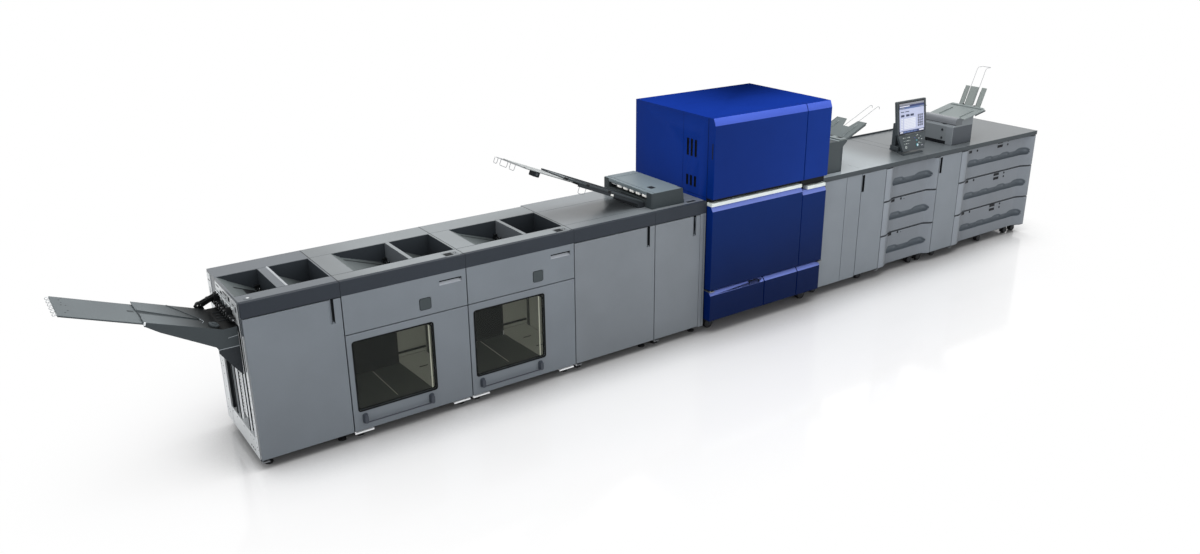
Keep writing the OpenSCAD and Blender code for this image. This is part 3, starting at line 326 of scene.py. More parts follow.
# grained plastic
for name, rgb, rough, bump, specular in (
        ("tray_dark", (62, 68, 71), 0.5, 0.18, 0.15),
        ("tray_mid", (106, 114, 117), 0.48, 0.16, 0.3),
        ("unit_grey", (112, 124, 129), 0.45, 0.14, 0.3),
        ("unit_side_painted_shade", (58, 65, 68), 0.5, 0.14, 0.15), ("panel_dark", (62, 69, 73), 0.42, 0.14, 0.3),
        ("tray_black", (44, 48, 52), 0.5, 0.15, 0.15),
        ("stand_dark", (66, 73, 76), 0.46, 0.12, 0.2),
        ("bypass_grey", (100, 108, 108), 0.45, 0.12, 0.2),
        ("feeder_top_grey", (118, 124, 128), 0.42, 0.1, 0.3),
        ("feeder_top_front_painted_shade", (74, 79, 85), 0.42, 0.1, 0.2),
        ("deck_green", (128, 136, 136), 0.42, 0.1, 0.3),
        ("prong_green", (132, 139, 137), 0.45, 0.1, 0.3)):
    surface(name, rgb, rough, grain=1600.0, bump=bump, specular=specular)
# cabinets, with painted shade: a little darker towards the floor
for name, rgb in (("cabinet_grey", (114, 121, 128)), ("cabinet_grey_2", (116, 122, 128))):
    surface(name, rgb, 0.42, painted_shading=(("z", 40, 900, 0.84, 1.0),))
surface("band_dark", (50, 55, 62), 0.5, grain=1400.0, bump=0.1, specular=0.12)
surface("bin_dark", (50, 55, 60), 0.6, grain=1400.0, bump=0.15, specular=0.1)
# bin ramps: painted shade, darker down in the bins
surface("bin_ramp_grey", (92, 99, 100), 0.5, grain=1400.0, bump=0.12, specular=0.15,
        painted_shading=(("z", 880, 1010, 0.35, 1.0),))
surface("frame_zinc", (188, 193, 196), 0.34, metallic=0.55, grain=300.0, mottle=0.08)
surface("plastic_black", (20, 22, 24), 0.45, grain=1800.0, bump=0.12, specular=0.2)
surface("wire_steel", (190, 194, 196), 0.22, metallic=0.85, grain=500.0, brushed=6.0)
# engine paint with painted light and shade: a lit copy for the top, shaded ones for the sides and
# low down, lighter towards the right, and a painted sheen on the sloped edges
for name, rgb, rough, painted_shading in (
        ("engine_blue", (17, 46, 120), 0.4,
         (("x", 3300, 4400, 0.84, 1.16), ("z", 1040, 1560, 1.0, 0.96))),
        ("engine_blue_low", (13, 36, 88), 0.4, (("z", 120, 980, 0.5, 1.15),)),
        ("engine_blue_side_painted_shade", (4, 42, 122), 0.42, (("z", 200, 1400, 0.45, 1.0),))):
    surface(name, rgb, rough, mottle=0.04, specular=0.05, painted_shading=painted_shading)
surface("engine_blue_top_painted_light", (20, 48, 133), 0.5, mottle=0.04, specular=0.0)
for name, rgb in (("engine_blue_painted_sheen", (70, 96, 198)), ("engine_lilac_painted_sheen", (102, 118, 188))):
    surface(name, rgb, 0.36, coat=0.05, mottle=0.03, specular=0.1)
surface("silver_trim", (222, 230, 228), 0.3, metallic=0.15, grain=420.0, brushed=9.0)
surface("glass_smoke", (20, 24, 22), 0.05, alpha=0.2, grain=60.0, bump=0.0, mottle=0.02,
        specular=0.35)
surface("hinge_steel", (120, 123, 126), 0.3, metallic=0.8, grain=300.0, brushed=5.0)
# feeder cabinets: painted shade, a little darker towards the floor
surface("feeder_grey", (124, 131, 138), 0.42, painted_shading=(("z", 60, 900, 0.9, 1.0),))
surface("grip_grey", (84, 91, 98), 0.5, grain=1400.0, bump=0.08, specular=0.2)
# drawer faces: painted light and shade, pale and dark bands where the scoop bends, darker towards
# the floor
for name, bends in (("feeder_face_a", (5225, 5300, 5312, 5420, 5700, 5860)),
                    ("feeder_face_b", (6232, 6312, 6322, 6440, 7060, 7270))):
    surface(name, (118, 124, 131), 0.42,
            painted_shading=(("x", *bends[:2], 1.35, 0.84), ("x", *bends[2:4], 1.0, 1.19),
                    ("x", *bends[4:], 1.0, 1.16), ("z", 60, 900, 0.9, 1.0)))
# worktop: painted reflection and shade, pale up to x 4900 and darker from there to the right
surface("worktop_pale", (158, 167, 172), 0.33, coat=0.2, speckle=0.02,
        painted_shading=(("x", 4900, 5500, 1.0, 0.32),))
surface("rubber_black", (26, 26, 28), 0.6, grain=700.0)
surface("top_grey_1", (90, 96, 102), 0.36, coat=0.15)
# stacker tops: painted shade, darker near the first stacker's left edge
surface("top_grey_2", (128, 134, 137), 0.36, coat=0.15, painted_shading=(("x", 560, 900, 0.72, 1.0),))
surface("ridge_painted_highlight", (176, 181, 186), 0.3, coat=0.3)
surface("button_slate", (56, 64, 67), 0.42, grain=1500.0, bump=0.1)
surface("pull_grey", (58, 63, 71), 0.36, coat=0.1, specular=0.2)
surface("pull_bar", (50, 53, 62), 0.36, metallic=0.2, brushed=8.0)
surface("frame_light", (214, 218, 220), 0.32, metallic=0.35, grain=300.0)
# tray sheet: painted shade, darker towards the tray's root
surface("tray_sheet", (107, 114, 117), 0.5, grain=1600.0, bump=0.12, specular=0.12,
        painted_shading=(("x", -440, -70, 1.0, 0.02),))
surface("top_grey_3", (122, 128, 132), 0.3, coat=0.25)
surface("lid_bar", (118, 122, 127), 0.28, coat=0.3)
surface("wire_bright", (150, 153, 156), 0.35, metallic=0.1, grain=500.0)
# painted shade for the drawers' soft grips: copies of one grey, from pale to dark
GRIP_SHADES = 7
GRIPS = [f"grip_{k}" for k in range(GRIP_SHADES)]
for k, name in enumerate(GRIPS):
    t = k / (GRIP_SHADES - 1)
    surface(name, (114 - 60 * t, 121 - 60 * t, 128 - 60 * t), 0.5, grain=1400.0, bump=0.08,
            specular=0.15)

# ---------------------------------------------------------------- mesh tools
SHARP = math.radians(50)
AXES = {"x": (1, 2, 0), "y": (0, 2, 1), "z": (0, 1, 2)}


def dress_mesh(mesh, materials, body, replaces=()):
    """A mesh in the frame's metres as a piece that rides on a body."""
    for m in materials:
        mesh.materials.append(MATERIALS[m])
    mesh.shade_smooth()
    mesh.set_sharp_from_angle(angle=SHARP)
    piece = bpy.data.objects.new(mesh.name, mesh)
    SCENE.collection.objects.link(piece)
    normals = piece.modifiers.new("normals", "WEIGHTED_NORMAL")
    normals.keep_sharp = True
    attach(piece, body)
    if replaces:
        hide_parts(*replaces)
    return piece


def bevel_edges(bm, width, segments=2, angle=30.0):
    """Rounds every edge of a bmesh that turns by more than angle degrees."""
    if width <= 0:
        return
    limit = math.radians(angle)
    edges = [e for e in bm.edges if len(e.link_faces) == 2 and e.calc_face_angle(0) > limit]
    bmesh.ops.bevel(bm, geom=edges, offset=width, segments=segments, profile=0.5,
                    affect="EDGES", clamp_overlap=True)


def across(axis, outline, depth):
    """The points of a plane outline, at a depth along an axis."""
    i, j, k = AXES[axis]
    points = []
    for p in outline:
        v = [0.0, 0.0, 0.0]
        v[i], v[j], v[k] = p[0], p[1], depth
        points.append(v)
    return points


def rounded_rect(x0, x1, z0, z1, r, steps=6):
    """Outline of a rectangle with round corners."""
    corners = ((x1 - r, z1 - r, 0), (x0 + r, z1 - r, 90), (x0 + r, z0 + r, 180),
               (x1 - r, z0 + r, 270))
    turns = [90 * s / steps for s in range(steps + 1)]
    return [(cx + r * math.cos(math.radians(start + t)), cz + r * math.sin(math.radians(start + t)))
            for cx, cz, start in corners for t in turns]


def smooth_path(points, radius, steps=5):
    """The points with each corner rounded by an arc of about that radius."""
    points = [Vector(p) for p in points]
    path = [points[0]]
    for before, corner, after in zip(points, points[1:], points[2:]):
        a, b = before - corner, after - corner
        cut = min(radius, 0.45 * a.length, 0.45 * b.length)
        a, b = corner + a.normalized() * cut, corner + b.normalized() * cut
        for s in range(steps + 1):
            t = s / steps
            path.append((1 - t) ** 2 * a + 2 * t * (1 - t) * corner + t * t * b)
    path.append(points[-1])
    return path


class Piece:
    """A mesh in the making, in the line's mm. Each method adds a part with one material index;
    where the piece has a turn, it sets the part onto that slope."""

    def __init__(self, turn=None, bm=None):
        self.bm = bmesh.new() if bm is None else bm
        self.turn = turn

    def on(self, turn):
        """The same mesh, for parts on a slope."""
        return Piece(turn, self.bm)

    def absorb(self, part, mat=None):
        """Takes over the faces of a bmesh, and frees it."""
        if mat is not None:
            for f in part.faces:
                f.material_index = mat
        if self.turn is not None:
            bmesh.ops.transform(part, matrix=self.turn, verts=part.verts)
        mesh = bpy.data.meshes.new("part")
        part.to_mesh(mesh)
        part.free()
        self.bm.from_mesh(mesh)
        bpy.data.meshes.remove(mesh)

    def box(self, x0, x1, y0, y1, z0, z1, bevel=0.0, mat=0, segments=2):
        """A block with rounded edges."""
        part = bmesh.new()
        size = Vector((x1 - x0, y1 - y0, z1 - z0))
        middle = Vector((x0 + x1, y0 + y1, z0 + z1)) / 2
        matrix = Matrix.Translation(middle) @ Matrix.Diagonal((*size, 1.0))
        bmesh.ops.create_cube(part, size=1.0, matrix=matrix)
        bevel_edges(part, min(bevel, 0.45 * min(size)), segments)
        self.absorb(part, mat)

    def prism(self, outline, axis, a, b, bevel=0.0, mat=0, segments=2, angle=30.0):
        """An outline in the plane across an axis, carried along it from a to b."""
        part = bmesh.new()
        near, far = ([part.verts.new(v) for v in across(axis, outline, end)] for end in (a, b))
        part.faces.new(near)
        part.faces.new(list(reversed(far)))
        n = len(outline)
        for s in range(n):
            part.faces.new((near[s], far[s], far[(s + 1) % n], near[(s + 1) % n]))
        bmesh.ops.recalc_face_normals(part, faces=part.faces)
        bevel_edges(part, bevel, segments, angle)
        self.absorb(part, mat)

    def plate(self, x0, x1, z0, z1, r, y0, y1, bevel=0.0, mat=0, axis="y"):
        """A slab with round corners."""
        self.prism(rounded_rect(x0, x1, z0, z1, r), axis, y0, y1, bevel, mat)

    def frame(self, outer, inner, y0, y1, mat=0, axis="y"):
        """A flat ring between two outlines with as many points, from y0 to y1 along an axis."""
        part = bmesh.new()
        a, b, c, d = ([part.verts.new(v) for v in across(axis, outline, depth)]
                      for outline, depth in ((outer, y0), (inner, y0), (inner, y1), (outer, y1)))
        n = len(outer)
        for s in range(n):
            t = (s + 1) % n
            for p, q in ((a, b), (b, c), (c, d), (d, a)):
                part.faces.new((p[s], p[t], q[t], q[s]))
        bmesh.ops.recalc_face_normals(part, faces=part.faces)
        self.absorb(part, mat)

    def rod(self, start, end, radius, sides=20, mat=0, bevel=0.0, tip=None):
        """A round bar between two points; tip is its radius at the end where that differs."""
        start, end = Vector(start), Vector(end)
        along = end - start
        part = bmesh.new()
        matrix = (Matrix.Translation((start + end) / 2)
                  @ along.to_track_quat("Z", "Y").to_matrix().to_4x4())
        bmesh.ops.create_cone(part, cap_ends=True, segments=sides, radius1=radius,
                              radius2=radius if tip is None else tip, depth=along.length,
                              matrix=matrix)
        bevel_edges(part, bevel, 2, 60)
        self.absorb(part, mat)

    def wire(self, points, radius, bend=12.0, sides=10, mat=0):
        """A round wire along points, with rounded bends and closed ends."""
        path = smooth_path(points, bend)
        turns = [2 * math.pi * k / sides for k in range(sides)]
        rings = []
        side = None
        for n, p in enumerate(path):
            ahead = (path[min(n + 1, len(path) - 1)] - path[max(n - 1, 0)]).normalized()
            if side is None:
                side = ahead.orthogonal().normalized()
            side = (side - ahead * side.dot(ahead)).normalized()
            up = ahead.cross(side)
            rings.append([p + radius * (math.cos(a) * side + math.sin(a) * up) for a in turns])
        self.sweep(rings, mat)

    def sweep(self, rings, mat=0):
        """Skin over a list of rings of points, all of one length, with closed ends."""
        part = bmesh.new()
        rows = [[part.verts.new(p) for p in ring] for ring in rings]
        n = len(rings[0])
        for a, b in zip(rows, rows[1:]):
            for k in range(n):
                part.faces.new((a[k], a[(k + 1) % n], b[(k + 1) % n], b[k]))
        part.faces.new(list(reversed(rows[0])))
        part.faces.new(rows[-1])
        self.absorb(part, mat)

    def screw(self, x, y, z, radius=4.0, facing=(0, -1, 0), mat=0):
        """A low pan head with a small raised centre."""
        out = Vector(facing)
        base = Vector((x, y, z))
        self.rod(base - out * 1.0, base + out * 1.8, radius, 14, mat, bevel=0.9)
        self.rod(base + out * 1.2, base + out * 2.1, radius * 0.38, 6, mat)

    def finish(self, name, materials, body, slot, replaces=()):
        """The mesh as a piece that rides on a body, in place of the CAD nodes in replaces."""
        bmesh.ops.transform(self.bm, matrix=TO_FRAME, verts=self.bm.verts)
        bmesh.ops.recalc_face_normals(self.bm, faces=self.bm.faces)
        mesh = bpy.data.meshes.new(name)
        self.bm.to_mesh(mesh)
        self.bm.free()
        dress_mesh(mesh, materials, body, replaces)


def soften(node, width, materials, choose=None, segments=2):
    """A copy of a CAD node with rounded edges, which stands for it.
    choose(centre, normal) gives a face's material index, in the line's mm."""
    bm = bmesh.new()
    bm.from_mesh(frame["nodes"][node].data)
    bmesh.ops.transform(bm, matrix=TO_FRAME.inverted(), verts=bm.verts)
    bmesh.ops.remove_doubles(bm, verts=bm.verts, dist=0.01)
    bmesh.ops.dissolve_limit(bm, angle_limit=math.radians(1.0), verts=bm.verts, edges=bm.edges)
    bevel_edges(bm, width, segments)
    bm.normal_update()
    for f in bm.faces:
        f.material_index = choose(f.calc_center_median(), f.normal) if choose else 0
    bmesh.ops.transform(bm, matrix=TO_FRAME, verts=bm.verts)
    mesh = bpy.data.meshes.new(node + "_skin")
    bm.to_mesh(mesh)
    bm.free()
    return dress_mesh(mesh, materials, body_of(node), (node,))


def at(x, y=0, z=0):
    """Frame of a sub-part with its own origin."""
    return Matrix.Translation((x, y, z))


def slope_at(x, z, degrees):
    """Frame of a slope that starts at x, z and rises to the left (+) or the right (-)."""
    return at(x, 0, z) @ Matrix.Rotation(math.radians(degrees), 4, "Y")


# ---------------------------------------------------------------- line stations
# left sides of the cabinets, half a joint before their housings, and the line's right end
HALF_JOINT = 0.3
X_ST1, X_REL, X_EXIT, X_ENG, X_BRI, X_FDA, X_FDB = (
    round(sizes(node)[0] - HALF_JOINT, 2)
    for node in ("stacker_tops", "relay_body", "exit_body", "engine_body", "bridge_body",
                 "feeder_a_body", "feeder_b_body"))
X_ST2 = (X_ST1 + X_REL) / 2
X_END = sizes("feeder_b_body")[1]
STATIONS = (0, X_ST1, X_ST2, X_REL, X_EXIT, X_ENG)
# heights: left cabinets' tops, floors of the bins, cabinets' undersides; things on the worktop
BASE, TOP = sizes("relay_body")[4:]
BIN_FLOOR = sizes("finisher_top")[4]
ON_WORKTOP = sizes("bypass_stand")[4]

# ---------------------------------------------------------------- cabinet doors
def door_with_slot(node, slot_x, slot_z, skin):
    """Door of two skins with an upright grip slot that opens at its top edge."""
    x0, x1, y0, y1, z0, z1 = extent(node)
    a, b = slot_x
    p = Piece()
    p.prism([(x0, z0), (x1, z0), (x1, z1), (b, z1), (b, slot_z), (a, slot_z), (a, z1), (x0, z1)],
            "y", y0, y0 + 15, 1.6)
    p.box(x0 + 4, x1 - 4, y0 + 15.2, y1, z0 + 4, z1 - 4, 1.5, 1)
    # the slot: a soft slope from the left down to a floor, and a right wall, both black as painted
    # shade
    scoop = [(a + 2 + (b - a - 14) * t / 8, y0 + 1.2 + 12 * (1 - math.cos(math.pi * t / 8)) / 2)
             for t in range(9)]
    scoop = [(a + 0.3, y0 + 0.8), *scoop, (a + 0.3, y0 + 13.4)]
    p.prism(scoop, "z", slot_z + 0.4, z1 - 1, angle=60)
    p.box(b - 12.5, b - 0.3, y0 + 12.6, y0 + 14.8, slot_z + 0.3, z1 - 1, 0, 2)
    p.box(b - 1.6, b - 0.2, y0 + 1.6, y0 + 14.8, slot_z + 0.3, z1 - 1, 0, 2)
    p.prism([(y0 + 1.0, slot_z + 0.3), (y0 + 14.5, slot_z + 0.3), (y0 + 14.5, slot_z + 10)], "x",
            b - 12.4, b - 1.8)
    p.finish(node + "_skin", [skin, skin, "slot_black"], body_of(node), "cabinet_grey", (node,))


door_with_slot("finisher_door", (470, 501), 778, "cabinet_grey")
door_with_slot("relay_door", (2708, 2738), 779, "cabinet_grey_2")
door_with_slot("exit_door", (3121, 3151), 780, "cabinet_grey_2")

# small curved lip in the exit door's slot
p = Piece()
lip = [(3141 + 8 * math.sin(math.pi * t / 12), 792 + 125 * t / 12) for t in range(13)]
lip += [(x + 5, z) for x, z in reversed(lip)]
p.prism(lip, "y", 2.5, 9, 0.8)
p.finish("exit_door_lip", ["grip_grey"], "exit_door", "cabinet_grey")


def window_door(node, x):
    """Stacker door: the CAD's panel with rounded edges, plus the window's black gasket."""
    soften(node, 1.8, ["cabinet_grey"])
    x0, x1, z0, z1 = x + 33, x + 549, 183, 640
    p = Piece()
    p.frame(rounded_rect(x0 + 0.5, x1 - 0.5, z0 + 0.5, z1 - 0.5, 17.5),
            rounded_rect(x0 + 7, x1 - 11, z0 + 11, z1 - 7, 12), -1.2, 0.9)
    p.frame(rounded_rect(x0 + 9.6, x1 - 9.6, z0 + 9.6, z1 - 9.6, 12),
            rounded_rect(x0 + 13, x1 - 13, z0 + 13, z1 - 13, 9), 8.2, 20)
    p.finish(node + "_gasket", ["gasket_black"], body_of(node), "cabinet_grey")


def oval_ring(x, y, z, w, h, points=28):
    """A ring of points with round corners, across y."""
    ring = []
    for k in range(points):
        c, s = math.cos(2 * math.pi * k / points), math.sin(2 * math.pi * k / points)
        ring.append((x + w * math.copysign(abs(c) ** 0.55, c), y,
                     z + h * math.copysign(abs(s) ** 0.55, s)))
    return ring


def pull(name, x, body):
    """Oval brackets and a thin bar between them."""
    p = Piece()
    for a in (x + 54, x + 484):
        rings = []
        for s in range(9):
            t = s / 8
            shrink = 1 - 0.34 * math.sin(math.pi / 2 * t) ** 2
            height = 32 * (1 - 0.16 * t * t)
            rings.append(oval_ring(a + 18, -0.4 - 25 * t, 136, 17 * shrink, height))
        p.sweep(rings)
        p.plate(a, a + 36, 103, 169, 14, -2.2, -0.3, 0.6, 1)
    p.rod((x + 84, -18, 113), (x + 490, -18, 113), 4.2, 18, 2)
    p.finish(name + "_skin", ["pull_grey", "panel_dark", "pull_bar"], body, "black_plastic",
             (name,))


for stacker, x in (("stacker_1", X_ST1), ("stacker_2", X_ST2)):
    window_door(stacker + "_door", x)
    soften(stacker + "_window", 0.8, ["glass_smoke"])
    pull(stacker + "_pull", x, stacker + "_door")

# hinge plates: pale under the stackers, steel elsewhere
soften("door_hinges", 0.8, ["hinge_steel", "toe_white"],
       choose=lambda centre, normal: int(X_ST1 < centre.x < X_REL))

# ---------------------------------------------------------------- stackers' upper panels
soften("stacker_upper_panels", 1.8, ["cabinet_grey"])
whole = Piece()
for x in (X_ST1, X_ST2):
    p = whole.on(at(x))
    # grip: sloped lower edge in a pale grey as painted light; back and right wall black as painted
    # shade
    slope = [(1.0 + 14.4 * t / 6, 857.8 + 17 * (t / 6) ** 1.6) for t in range(7)]
    slope = [(1.0, 857.4), *slope, (15.4, 857.4)]
    p.prism(slope, "x", 604.4, 751.6, angle=60)
    p.box(604.4, 751.6, 14.6, 15.8, 874, 886.6, 0, 1)
    p.box(740, 751.7, 3, 15.5, 875, 886.6, 0, 1)
    # release button in its dark gap, both rounded squares
    p.plate(468, 544, 726, 802, 14, 1.4, 2.9, 0.5, 1)
    p.plate(470.5, 541.5, 728.5, 799.5, 12, -0.4, 1.6, 1.0, 2)
whole.finish("stacker_grips", ["grip_painted_light", "slot_black", "button_slate"], "root", "cabinet_grey")

# ---------------------------------------------------------------- tops with their bins
def top_face(centre, normal):
    """0 outside, 1 inside a bin."""
    outside = normal.z > 0.5 and centre.z > TOP - 6
    return int(not outside and 121 < centre.y < 485.5 and 1 < centre.x and centre.z < TOP - 4)


for node, paint in (("finisher_top", "top_grey_1"), ("stacker_tops", "top_grey_2")):
    soften(node, 1.3, [paint, "bin_dark"], choose=top_face)
soften("bin_ramps", 1.0, ["bin_ramp_grey"])
soften("front_bands", 2.0, ["band_dark"])

# the bins' left ends and widths; floors a little above the cabinets
BINS = ((8, 230), (303, 232), (677, 345), (1048, 270), (1462, 345), (1833, 270))
p = Piece()
for x, w in BINS:
    p.box(x + 0.5, x + w - 0.5, 122.5, 483.5, BIN_FLOOR - 0.2, BIN_FLOOR + 1.5)
p.finish("bin_floors", ["bin_dark"], "root", "tray_grey")

# sheets on the left bins' ramps: a front sheet with a slit behind it, black as a painted shadow at
# its step, and a rolled edge
p = Piece()
for x, w in BINS[::2]:
    knee = Vector((x + 52, 0, TOP - 35))
    foot = Vector((x + w, 0, TOP - 132))
    fall = (foot - knee).normalized()
    up = Vector((-fall.z, 0, fall.x))
    reach = (foot - knee).length - 34
    # each lane: its near and its far side at the head and the foot, thickness, length, finish
    lanes = [((124, 124), (422, 394), 1.4, reach, 0), ((442, 414), (482, 482), 2.2, reach, 0),
             ((416, 388), (444, 416), 0.8, reach, 3)]
    if x < X_ST1:
        # the finisher's front sheet is short, and the ramp is dark under it
        lanes = [((124, 124), (350, 372), 1.4, 63, 0), ((370, 430), (482, 482), 2.2, reach, 0),
                 ((124, 124), (374, 434), 0.8, reach, 3)]
    for near, far, lift, length, mat in lanes:
        rings = []
        for base, y0, y1 in zip((knee, knee + fall * length), near, far):
            low, high = base + up * 0.3, base + up * lift
            rings.append([(low.x, y0, low.z), (high.x, y0, high.z), (high.x, y1, high.z),
                          (low.x, y1, low.z)])
        p.sweep(rings, mat)
    # steep start under the rim and the rolled edge over it
    p.prism([(x + 1.0, TOP - 2.0), (x + 54, TOP - 34.0), (x + 54, TOP - 30.6),
             (x + 2.5, TOP - 0.6)], "y", 124, 482, 0.5)
    p.rod((x - 0.5, 123, TOP - 1.7), (x - 0.5, 483, TOP - 1.7), 2.2, 14, 1)
    # guide rollers, their bracket and a lever between the ramp's foot and the divider
    fx, fz = x + w - 17, TOP - 132 + 18
    p.rod((fx, 300, fz), (fx, 470, fz), 5, 14, 2)
    for y in (318, 352, 392, 430):
        p.rod((fx, y, fz), (fx, y + 16, fz), 13, 20, 3, bevel=1.2)
    p.box(fx - 13, fx + 12, 455, 470, fz - 16, fz + 26, 2, 3)
    p.box(fx - 10, fx - 4, 372, 384, fz - 6, fz + 34, 1.5, 3)
    p.rod((fx - 11, 378, fz + 28), (fx - 9, 378, fz + 28), 4, 12, 2)
p.finish("ramp_sheets", ["bin_ramp_grey", "top_grey_2", "wire_steel", "plastic_black"], "root",
         "tray_grey")

# dividers: rounded ridge in the finisher, pale as a painted highlight, thin cap in the stackers;
# black button; small displays
p = Piece()
ridge = [(284 + 1.9 * t, TOP - 6 + 9.5 * math.sin(math.pi * t / 10) ** 0.7) for t in range(11)]
p.prism(ridge, "y", 122.6, 483.6, 0.6, angle=50)
for x in (1022, 1807):
    p.box(x + 1, x + 25, 122.6, 483.6, TOP - 3, TOP + 1.6, 1.4, 1)
    p.box(x - 1.6, x - 0.2, 124, 482, TOP - 124, TOP - 4, 0.4, 2)
for low, high, radius, sides, mat, bevel in ((-1, 1.2, 23, 40, 2, 0.8), (1.0, 2.0, 15, 32, 4, 0.6),
                                             (1.8, 2.8, 8, 28, 3, 0.5)):
    p.rod((60, 60, TOP + low), (60, 60, TOP + high), radius, sides, mat, bevel)
for x in (1229, 2014):
    p.plate(x - 12, x + 81, 18, 92, 5, TOP - 0.5, TOP + 0.9, 0.4, 4, axis="z")
    p.plate(x - 6, x + 44, 34, 82, 3, TOP + 0.8, TOP + 1.5, 0.3, 5, axis="z")
    for u, y in ((55, 64), (63, 52), (71, 64)):
        p.rod((x + u, y, TOP + 0.8), (x + u, y, TOP + 1.7), 3.2, 14, 5)
p.finish("top_fittings", ["ridge_painted_highlight", "top_grey_2", "divider_grey", "foot_pale", "label_grey",
                          "slot_black"], "root", "top_grey")
# seams of the tops: along the bins' edges and between the cabinets
p = Piece()
for x0, x1 in ((2, X_ST1 - 2), (X_ST1 + 2, X_ST2 - 2), (X_ST2 + 2, X_REL - 2)):
    for y in (121, 486):
        p.box(x0, x1, y + 1.2, y + 2.6, TOP - 0.6, TOP + 0.2)
for x in (X_ST1, X_ST2, X_REL):
    p.box(x - 2.0, x + 2.0, 1, 656, TOP - 3.2, TOP + 0.25, 0, 1)
p.finish("top_seams", ["seam_grey", "slot_black"], "root", "top_grey")

# ---------------------------------------------------------------- stackers' chambers
def chamber_face(centre, normal):
    """0 outside, 1 inside, 2 the right wall, in a brighter paint as painted light."""
    x = centre.x - (X_ST1 if centre.x < X_ST2 else X_ST2)
    if centre.z > 690 or x < 3.6 or x > 781.4 or centre.y > 657 or centre.z < 54.5:
        return 0
    if normal.x < -0.5 and x > 700:
        return 2
    return 1


for number in (1, 2):
    soften(f"stacker_{number}_body", 1.2, ["cabinet_grey", "chamber_dark", "chamber_olive"],
           choose=chamber_face)
soften("stacker_lifts", 1.0, ["chamber_floor"])
whole = Piece()
for x in (X_ST1, X_ST2):
    p = whole.on(at(x))
    # right side of the chamber: lining and pale post at its front in painted light, and a dark
    # strip beside it
    p.box(748, 752, 120, 598, 166, 682, 0.8, 4)
    p.box(728, 752, 96, 118, 82, 682, 2.5)
    p.box(700, 726, 60, 84, 82, 682, 1.5, 1)
    # gusset in the top corner and a rod across the lining
    p.prism([(750, 684), (610, 684), (750, 540)], "y", 36, 40, 0.5, 1)
    p.rod((744, 90, 450), (744, 600, 450), 7, 14, 1)
    p.box(740, 749, 300, 380, 470, 640, 1.0, 5)
    p.rod((738, 230, 520), (749, 230, 520), 7, 16, 2)
    # platform: a fold line, a plate in painted light at its right, sheet guides
    p.box(328, 330.4, 114, 505, 163.2, 164.8, 0.3, 3)
    p.prism([(522, 594), (744, 594), (744, 55), (546, 55)], "z", 163.2, 165, 0.3, 4)
    for y in (210, 380):
        p.box(600, 660, y, y + 6, 165.2, 168, 0.6, 1)
    # dark partition at the back left, back wall beside it in painted light, with a tie bar across
    p.box(8, 517, 512, 516, 166, 680, 0.5, 1)
    p.box(519, 746, 596, 600, 166, 680, 0.5, 4)
    p.box(519, 746, 584, 592, 194, 208, 1.0, 1)
    # edge strip in painted light and a corner plate behind the window's right side
    p.box(541, 548, 66, 70, 166, 688, 0.5, 6)
    p.prism([(496, 628), (600, 628), (600, 556)], "y", 60, 63, 0.5, 1)
# white stop at the partition of the right stacker
p.box(511, 517, 507, 511.5, 168, 197, 0.8, 2)
whole.finish("chamber_fittings", ["chamber_pale", "chamber_dark", "roller_white", "chamber_line",
                                  "chamber_lit", "chamber_olive", "chamber_edge"], "root",
             "stacker_inside")

# ---------------------------------------------------------------- finisher's open side
soften("finisher_body", 1.5, ["cabinet_grey"])
soften("finisher_side_frame", 1.2, ["frame_light"])
RAIL_X0, RAIL_X1, _, _, RAIL_FOOT, _ = extent("finisher_lift_rails")
RAIL_TOP = BIN_FLOOR - 0.4
RAILS = (188, 365, 444, 530)
p = Piece()
for y, strip in zip(RAILS, ((8.2, 16.0, 0), (8.5, 19.7, 0), (10.0, 20.3, 1), None)):
    # C-section rail, open to the left, drawn dark as painted shade, with a strip down its front
    # flank: white with a glow of painted light, or zinc
    a, b = RAIL_X0, RAIL_X1
    section = [(a, y - 9), (b, y - 9), (b, y + 9), (a, y + 9), (a, y + 4), (a + 3, y + 4),
               (a + 3, y + 6.4), (b - 3, y + 6.4), (b - 3, y - 6.4), (a + 3, y - 6.4),
               (a + 3, y - 4), (a, y - 4)]
    p.prism(section, "z", RAIL_FOOT, RAIL_TOP, 0.4, 2)
    if strip:
        p.box(*strip[:2], y - 9.4, y - 8.6, RAIL_FOOT, RAIL_TOP, 0, strip[2])
p.finish("lift_rails_skin", ["rail_white", "frame_zinc", "bay_dark"], "root", "rail_white",
         ("finisher_lift_rails",))
p = Piece()
# dark back of the bay, a black sheet as painted shade; zinc channel with its slots, white rear
# strip with a glow of painted light, and the lift belt with slanted teeth
p.box(54.8, 57.4, 72, 544, RAIL_FOOT, RAIL_TOP)
p.box(30, 50, 100, 168, RAIL_FOOT + 1, RAIL_TOP, 2.0, 3)
p.box(24, 28, 613, 640, RAIL_FOOT + 1, RAIL_TOP, 1.0, 2)
p.box(36, 42, 322, 390, RAIL_FOOT + 2, RAIL_TOP, 0.5, 1)
for k in range(int((RAIL_TOP - RAIL_FOOT - 20) / 22)):
    z = RAIL_FOOT + 10 + 22 * k
    p.prism([(324, z), (388, z + 12), (388, z + 23), (324, z + 11)], "x", 32.5, 36.4, 0.6, 2)
for z in range(220, 800, 90):
    p.box(28.6, 30.4, 110, 126, z, z + 12, 0.4)
